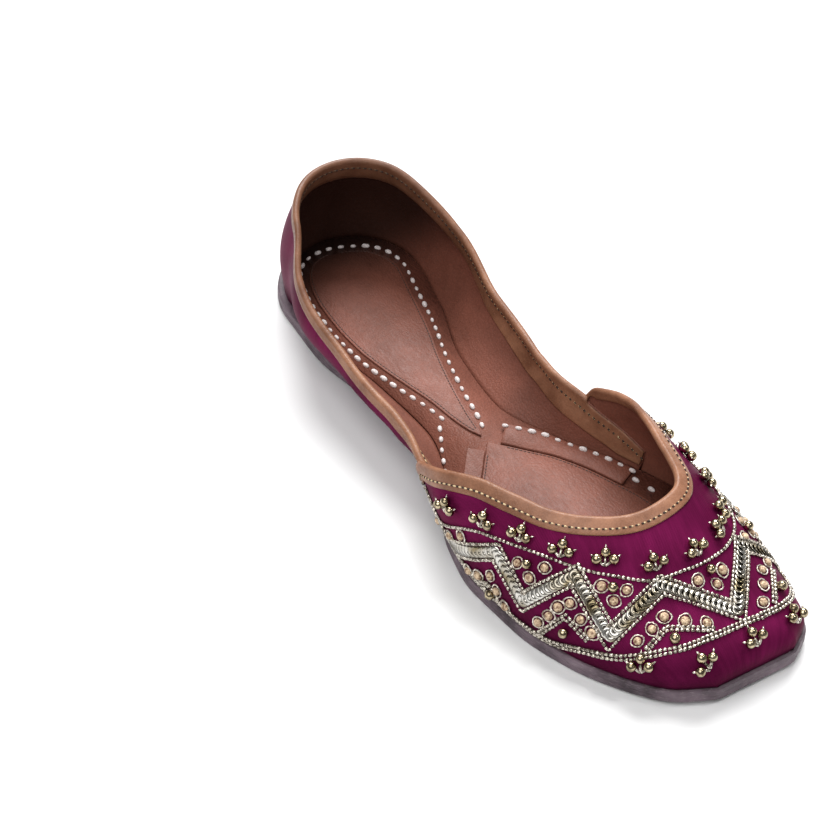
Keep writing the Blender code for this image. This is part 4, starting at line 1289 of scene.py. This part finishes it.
KNOTS = (
    (-19.2, -87.4), (-19.5, -82.2), (-22.7, -80.2), (-26.3, -79.3), (-30.5, -77.1), (-18.5, -92.2),
    (-11.2, -84.9), (-6.7, -90.0), (-10.1, -90.2), (-9.8, -101.6), (-5.5, -101.5), (-1.9, -100.8),
    (1.3, -103.4), (5.0, -105.6), (7.6, -97.5), (11.0, -99.9), (13.4, -97.4), (23.9, -88.6),
    (23.6, -100.0), (21.0, -103.5), (18.5, -106.8), (-25.7, -62.2), (-20.8, -70.0), (-25.2, -68.1),
    (-38.6, -46.2), (-37.0, -50.7), (-33.9, -55.6), (-35.5, -59.4), (-36.8, -63.9), (-34.7, -34.6),
    (-32.5, -40.8), (-33.6, -26.8), (-33.2, -19.8), (27.4, -97.6), (28.6, -86.0), (26.6, -82.0),
    (29.8, -81.0), (34.2, -84.0), (32.0, -74.6), (36.0, -78.6), (36.6, -69.6), (29.0, -63.6),
    (31.6, -59.4), (28.6, -57.0), (36.4, -54.6), (33.4, -50.4), (33.8, -44.6), (30.6, -40.0),
    (24.6, -42.0), (25.4, -26.6), (22.0, -29.0),
)
CHEVRONS = (
    ((-32.6, -79.0), (-22.7, -83.8), (-21.3, -91.9)), ((-8.9, -104.6), (-2.8, -103.3), (5.2, -107.6)),
    ((26.8, -100.2), (23.5, -104.1), (20.9, -107.6)), ((-38.8, -51.4), (-36.8, -55.4), (-38.2, -60.8)),
    ((37.8, -84.0), (33.4, -78.4), (37.8, -72.6)), ((36.8, -53.0), (32.6, -48.6), (34.0, -41.6)),
)
LONE_BALLS = (
    (-25.1, -85.6), (-9.1, -87.1), (-2.6, -105.5), (10.7, -96.1), (-23.6, -65.2), (-37.4, -57.6),
    (25.4, -105.3), (27.2, -84.6), (36.8, -76.0), (29.4, -60.2), (36.0, -47.0), (28.4, -31.4),
)
BALL = 1.70
ball_unit = lathe("ball", [
    (BALL * -math.cos(turn), BALL * math.sin(turn)) for turn in np.linspace(0.0, math.pi, 11)
], 16)
stem_unit = lathe("stem_bead", [
    (-1.2, 0), (-1.1, 0.36), (-0.9, 0.50), (0.9, 0.50), (1.1, 0.36), (1.2, 0)
], 8)
tip_unit = lathe("tip_bead", [(-0.7, 0), (-0.6, 0.26), (-0.2, 0.36), (0.2, 0.32), (0.4, 0.12), (0.9, 0)], 8)
ball_spots, ball_lift = [], []
stem_places, stem_outs, stem_alongs = [], [], []
tip_places, tip_outs = [], []
for x0, y0, x1, y1 in SPRAYS:
    foot_spot = np.array([[x0, y0]]) / 1000
    base, normal = last(foot_spot), last_normal(foot_spot)
    onward = last(np.array([[x1, y1]]) / 1000) - base
    onward = unit(onward - normal * (onward * normal).sum())
    sideways = np.cross(normal, onward)
    for turn, far in ((-0.92, 3.3), (0.0, 4.1), (0.92, 3.3)):
        heading = onward * math.cos(turn) + sideways * math.sin(turn)
        ball_spots.append(walked(foot_spot, heading, far / 1000)[0])
        ball_lift.append(BALL * 0.95 / 1000)
        tip = walked(foot_spot, heading, (far + BALL + 0.10) / 1000)
        tip_normal = last_normal(tip)
        tip_places.append((last(tip) + tip_normal * (CLOTH + BALL * 0.00080))[0])
        tip_outs.append(tip_normal[0])
        middle = walked(foot_spot, heading, far * 0.36 / 1000)
        place, out = lifted_line(middle, 0.0007)
        stem_places.append(place[0])
        stem_outs.append(out[0])
        stem_alongs.append(heading[0])
for spot in LONE_BALLS:
    ball_spots.append(np.array(spot) / 1000)
    ball_lift.append(BALL * 0.9 / 1000)
ball_spots = np.array(ball_spots)
ball_outs = last_normal(ball_spots)
ball_places = last(ball_spots) + ball_outs * (CLOTH + np.array(ball_lift))[:, None]
ball_alongs = np.roll(ball_outs, 1, axis=1)
strewn(
    "spray_balls", placed, "cloth", [ball_places], [ball_outs], [ball_alongs], ball_unit, antique_gold,
    wobble=0.06, seed=4,
)
strewn(
    "spray_stems", placed, "cloth", [np.array(stem_places)], [np.array(stem_outs)],
    [np.array(stem_alongs)], stem_unit, lined_bead, seed=5,
)
strewn(
    "spray_tips", placed, "cloth", [np.array(tip_places)], [np.array(tip_outs)],
    [np.array(stem_alongs)], tip_unit, lined_bead, wobble=0.15, seed=6,
)
chevron_lines = []
for corners in CHEVRONS:
    path = laid(corners, 0.0008)
    chevron_lines += [path, beside(path, 0.0011)]
lines, outs = zip(*[lifted_line(path, 0.0004) for path in chevron_lines])
strewn(
    "chevron_beads", threaded, "cloth", lines, outs, None, seed_bead, lined_bead,
    spacing=SEED_PITCH, wobble=0.1, seed=7,
)

knot_unit = lathe("knot", [
    (-0.2, 0), (-0.15, 1.0), (0.4, 1.42), (0.9, 1.34), (1.3, 1.02), (1.55, 0.56), (1.62, 0)
], 12, "Z")
ring_points, ring_faces = [], []
for i in range(22):
    turn = 2 * math.pi * i / 22
    for j in range(6):
        roll = 2 * math.pi * j / 6 + turn * 5
        thick = 0.27 + 0.06 * math.cos(11 * turn)
        radius = 1 + thick / 2.0 * math.cos(roll)
        narrow = abs(math.sin(turn)) ** 0.35
        ring_points.append((
            radius * 2.35 * math.cos(turn) / 1000, radius * 1.95 * math.sin(turn) * narrow / 1000,
            (0.34 + thick * math.sin(roll)) / 1000,
        ))
for i in range(22):
    for j in range(6):
        k, m = (i + 1) % 22, (j + 1) % 6
        ring_faces.append((i * 6 + j, i * 6 + m, k * 6 + m, k * 6 + j))
ring_unit = closed_mesh("wire_ring", ring_points, ring_faces)
knot_spots = np.array(KNOTS) / 1000
knot_places, knot_outs = lifted_line(knot_spots, 0.0)
chance = np.random.default_rng(11)
spin = chance.uniform(0, 2 * math.pi, len(knot_spots))
first = unit(np.cross(knot_outs, [0.0, 0.0, 1.0]))
second = np.cross(knot_outs, first)
knot_alongs = first * np.cos(spin)[:, None] + second * np.sin(spin)[:, None]
strewn(
    "gold_knots", placed, "cloth", [knot_places], [knot_outs], [knot_alongs], knot_unit, knot_thread,
    wobble=0.1, seed=8,
)
strewn(
    "wire_rings", placed, "cloth", [knot_places], [knot_outs], [knot_alongs], ring_unit, silver_wire,
    wobble=0.08, seed=8,
)


# Studio. A pale seamless floor, a soft window light from behind the shoe, a large card over its
# toe's left, a small lamp that sparks on the beads, and the camera above the toe, as in the photograph.
floor_mesh = bpy.data.meshes.new("floor")
floor_mesh.from_pydata([(-3, -3, 0), (3, -3, 0), (3, 3, 0), (-3, 3, 0)], [], [(0, 1, 2, 3)])
floor = bpy.data.objects.new("floor", floor_mesh)
bpy.context.scene.collection.objects.link(floor)
floor_paint, _, shader = surface("matt_white_sweep")
plain(shader, {"Base Color": colour("#EAEAEA"), "Roughness": 0.9})
floor_mesh.materials.append(floor_paint)

world = bpy.data.worlds.new("studio")
bpy.context.scene.world = world
world.use_nodes = True
world.node_tree.nodes["Background"].inputs["Color"].default_value = (1.0, 1.0, 1.0, 1.0)
world.node_tree.nodes["Background"].inputs["Strength"].default_value = 0.26
for name, kind, place, aim, size, strength in (
    ("window", "SUN", (0.38, 0.56, 0.78), (0.0, 0.0, 0.02), 0.70, 4.6),
    ("overhead_card", "AREA", (-0.42, -0.20, 0.85), (0.0, -0.03, 0.02), 0.80, 6.0),
    ("spark_lamp", "AREA", (0.45, -0.35, 0.75), (0.0, -0.07, 0.02), 0.08, 1.2),
):
    lamp = bpy.data.lights.new(name, kind)
    lamp.energy = strength
    if kind == "SUN":
        lamp.angle = size
    else:
        lamp.size = size
    holder = bpy.data.objects.new(name, lamp)
    holder.location = place
    holder.rotation_euler = (Vector(aim) - Vector(place)).to_track_quat("-Z", "Y").to_euler()
    bpy.context.scene.collection.objects.link(holder)
bpy.context.scene.view_settings.view_transform = "Standard"

AZIMUTH, ELEVATION, ROLL = (math.radians(angle) for angle in (-31.36, 45.46, 1.23))
TARGET = Vector((-0.02322, 0.02258, 0.010))
DISTANCE = 0.750
back = Vector((
    math.sin(AZIMUTH) * math.cos(ELEVATION), -math.cos(AZIMUTH) * math.cos(ELEVATION), math.sin(ELEVATION)
))
right = Vector((math.cos(AZIMUTH), math.sin(AZIMUTH), 0.0))
above = back.cross(right)
turned_right = right * math.cos(ROLL) + above * math.sin(ROLL)
turned_up = above * math.cos(ROLL) - right * math.sin(ROLL)
camera = bpy.data.objects.new("camera", bpy.data.cameras.new("camera"))
camera.data.sensor_width = 36.0
camera.data.lens = 2174.25 * 36.0 / 828
camera.data.clip_start, camera.data.clip_end = 0.01, 20.0
camera.matrix_world = Matrix.Translation(TARGET + back * DISTANCE) @ Matrix((
    turned_right, turned_up, back
)).transposed().to_4x4()
bpy.context.scene.collection.objects.link(camera)
bpy.context.scene.camera = camera
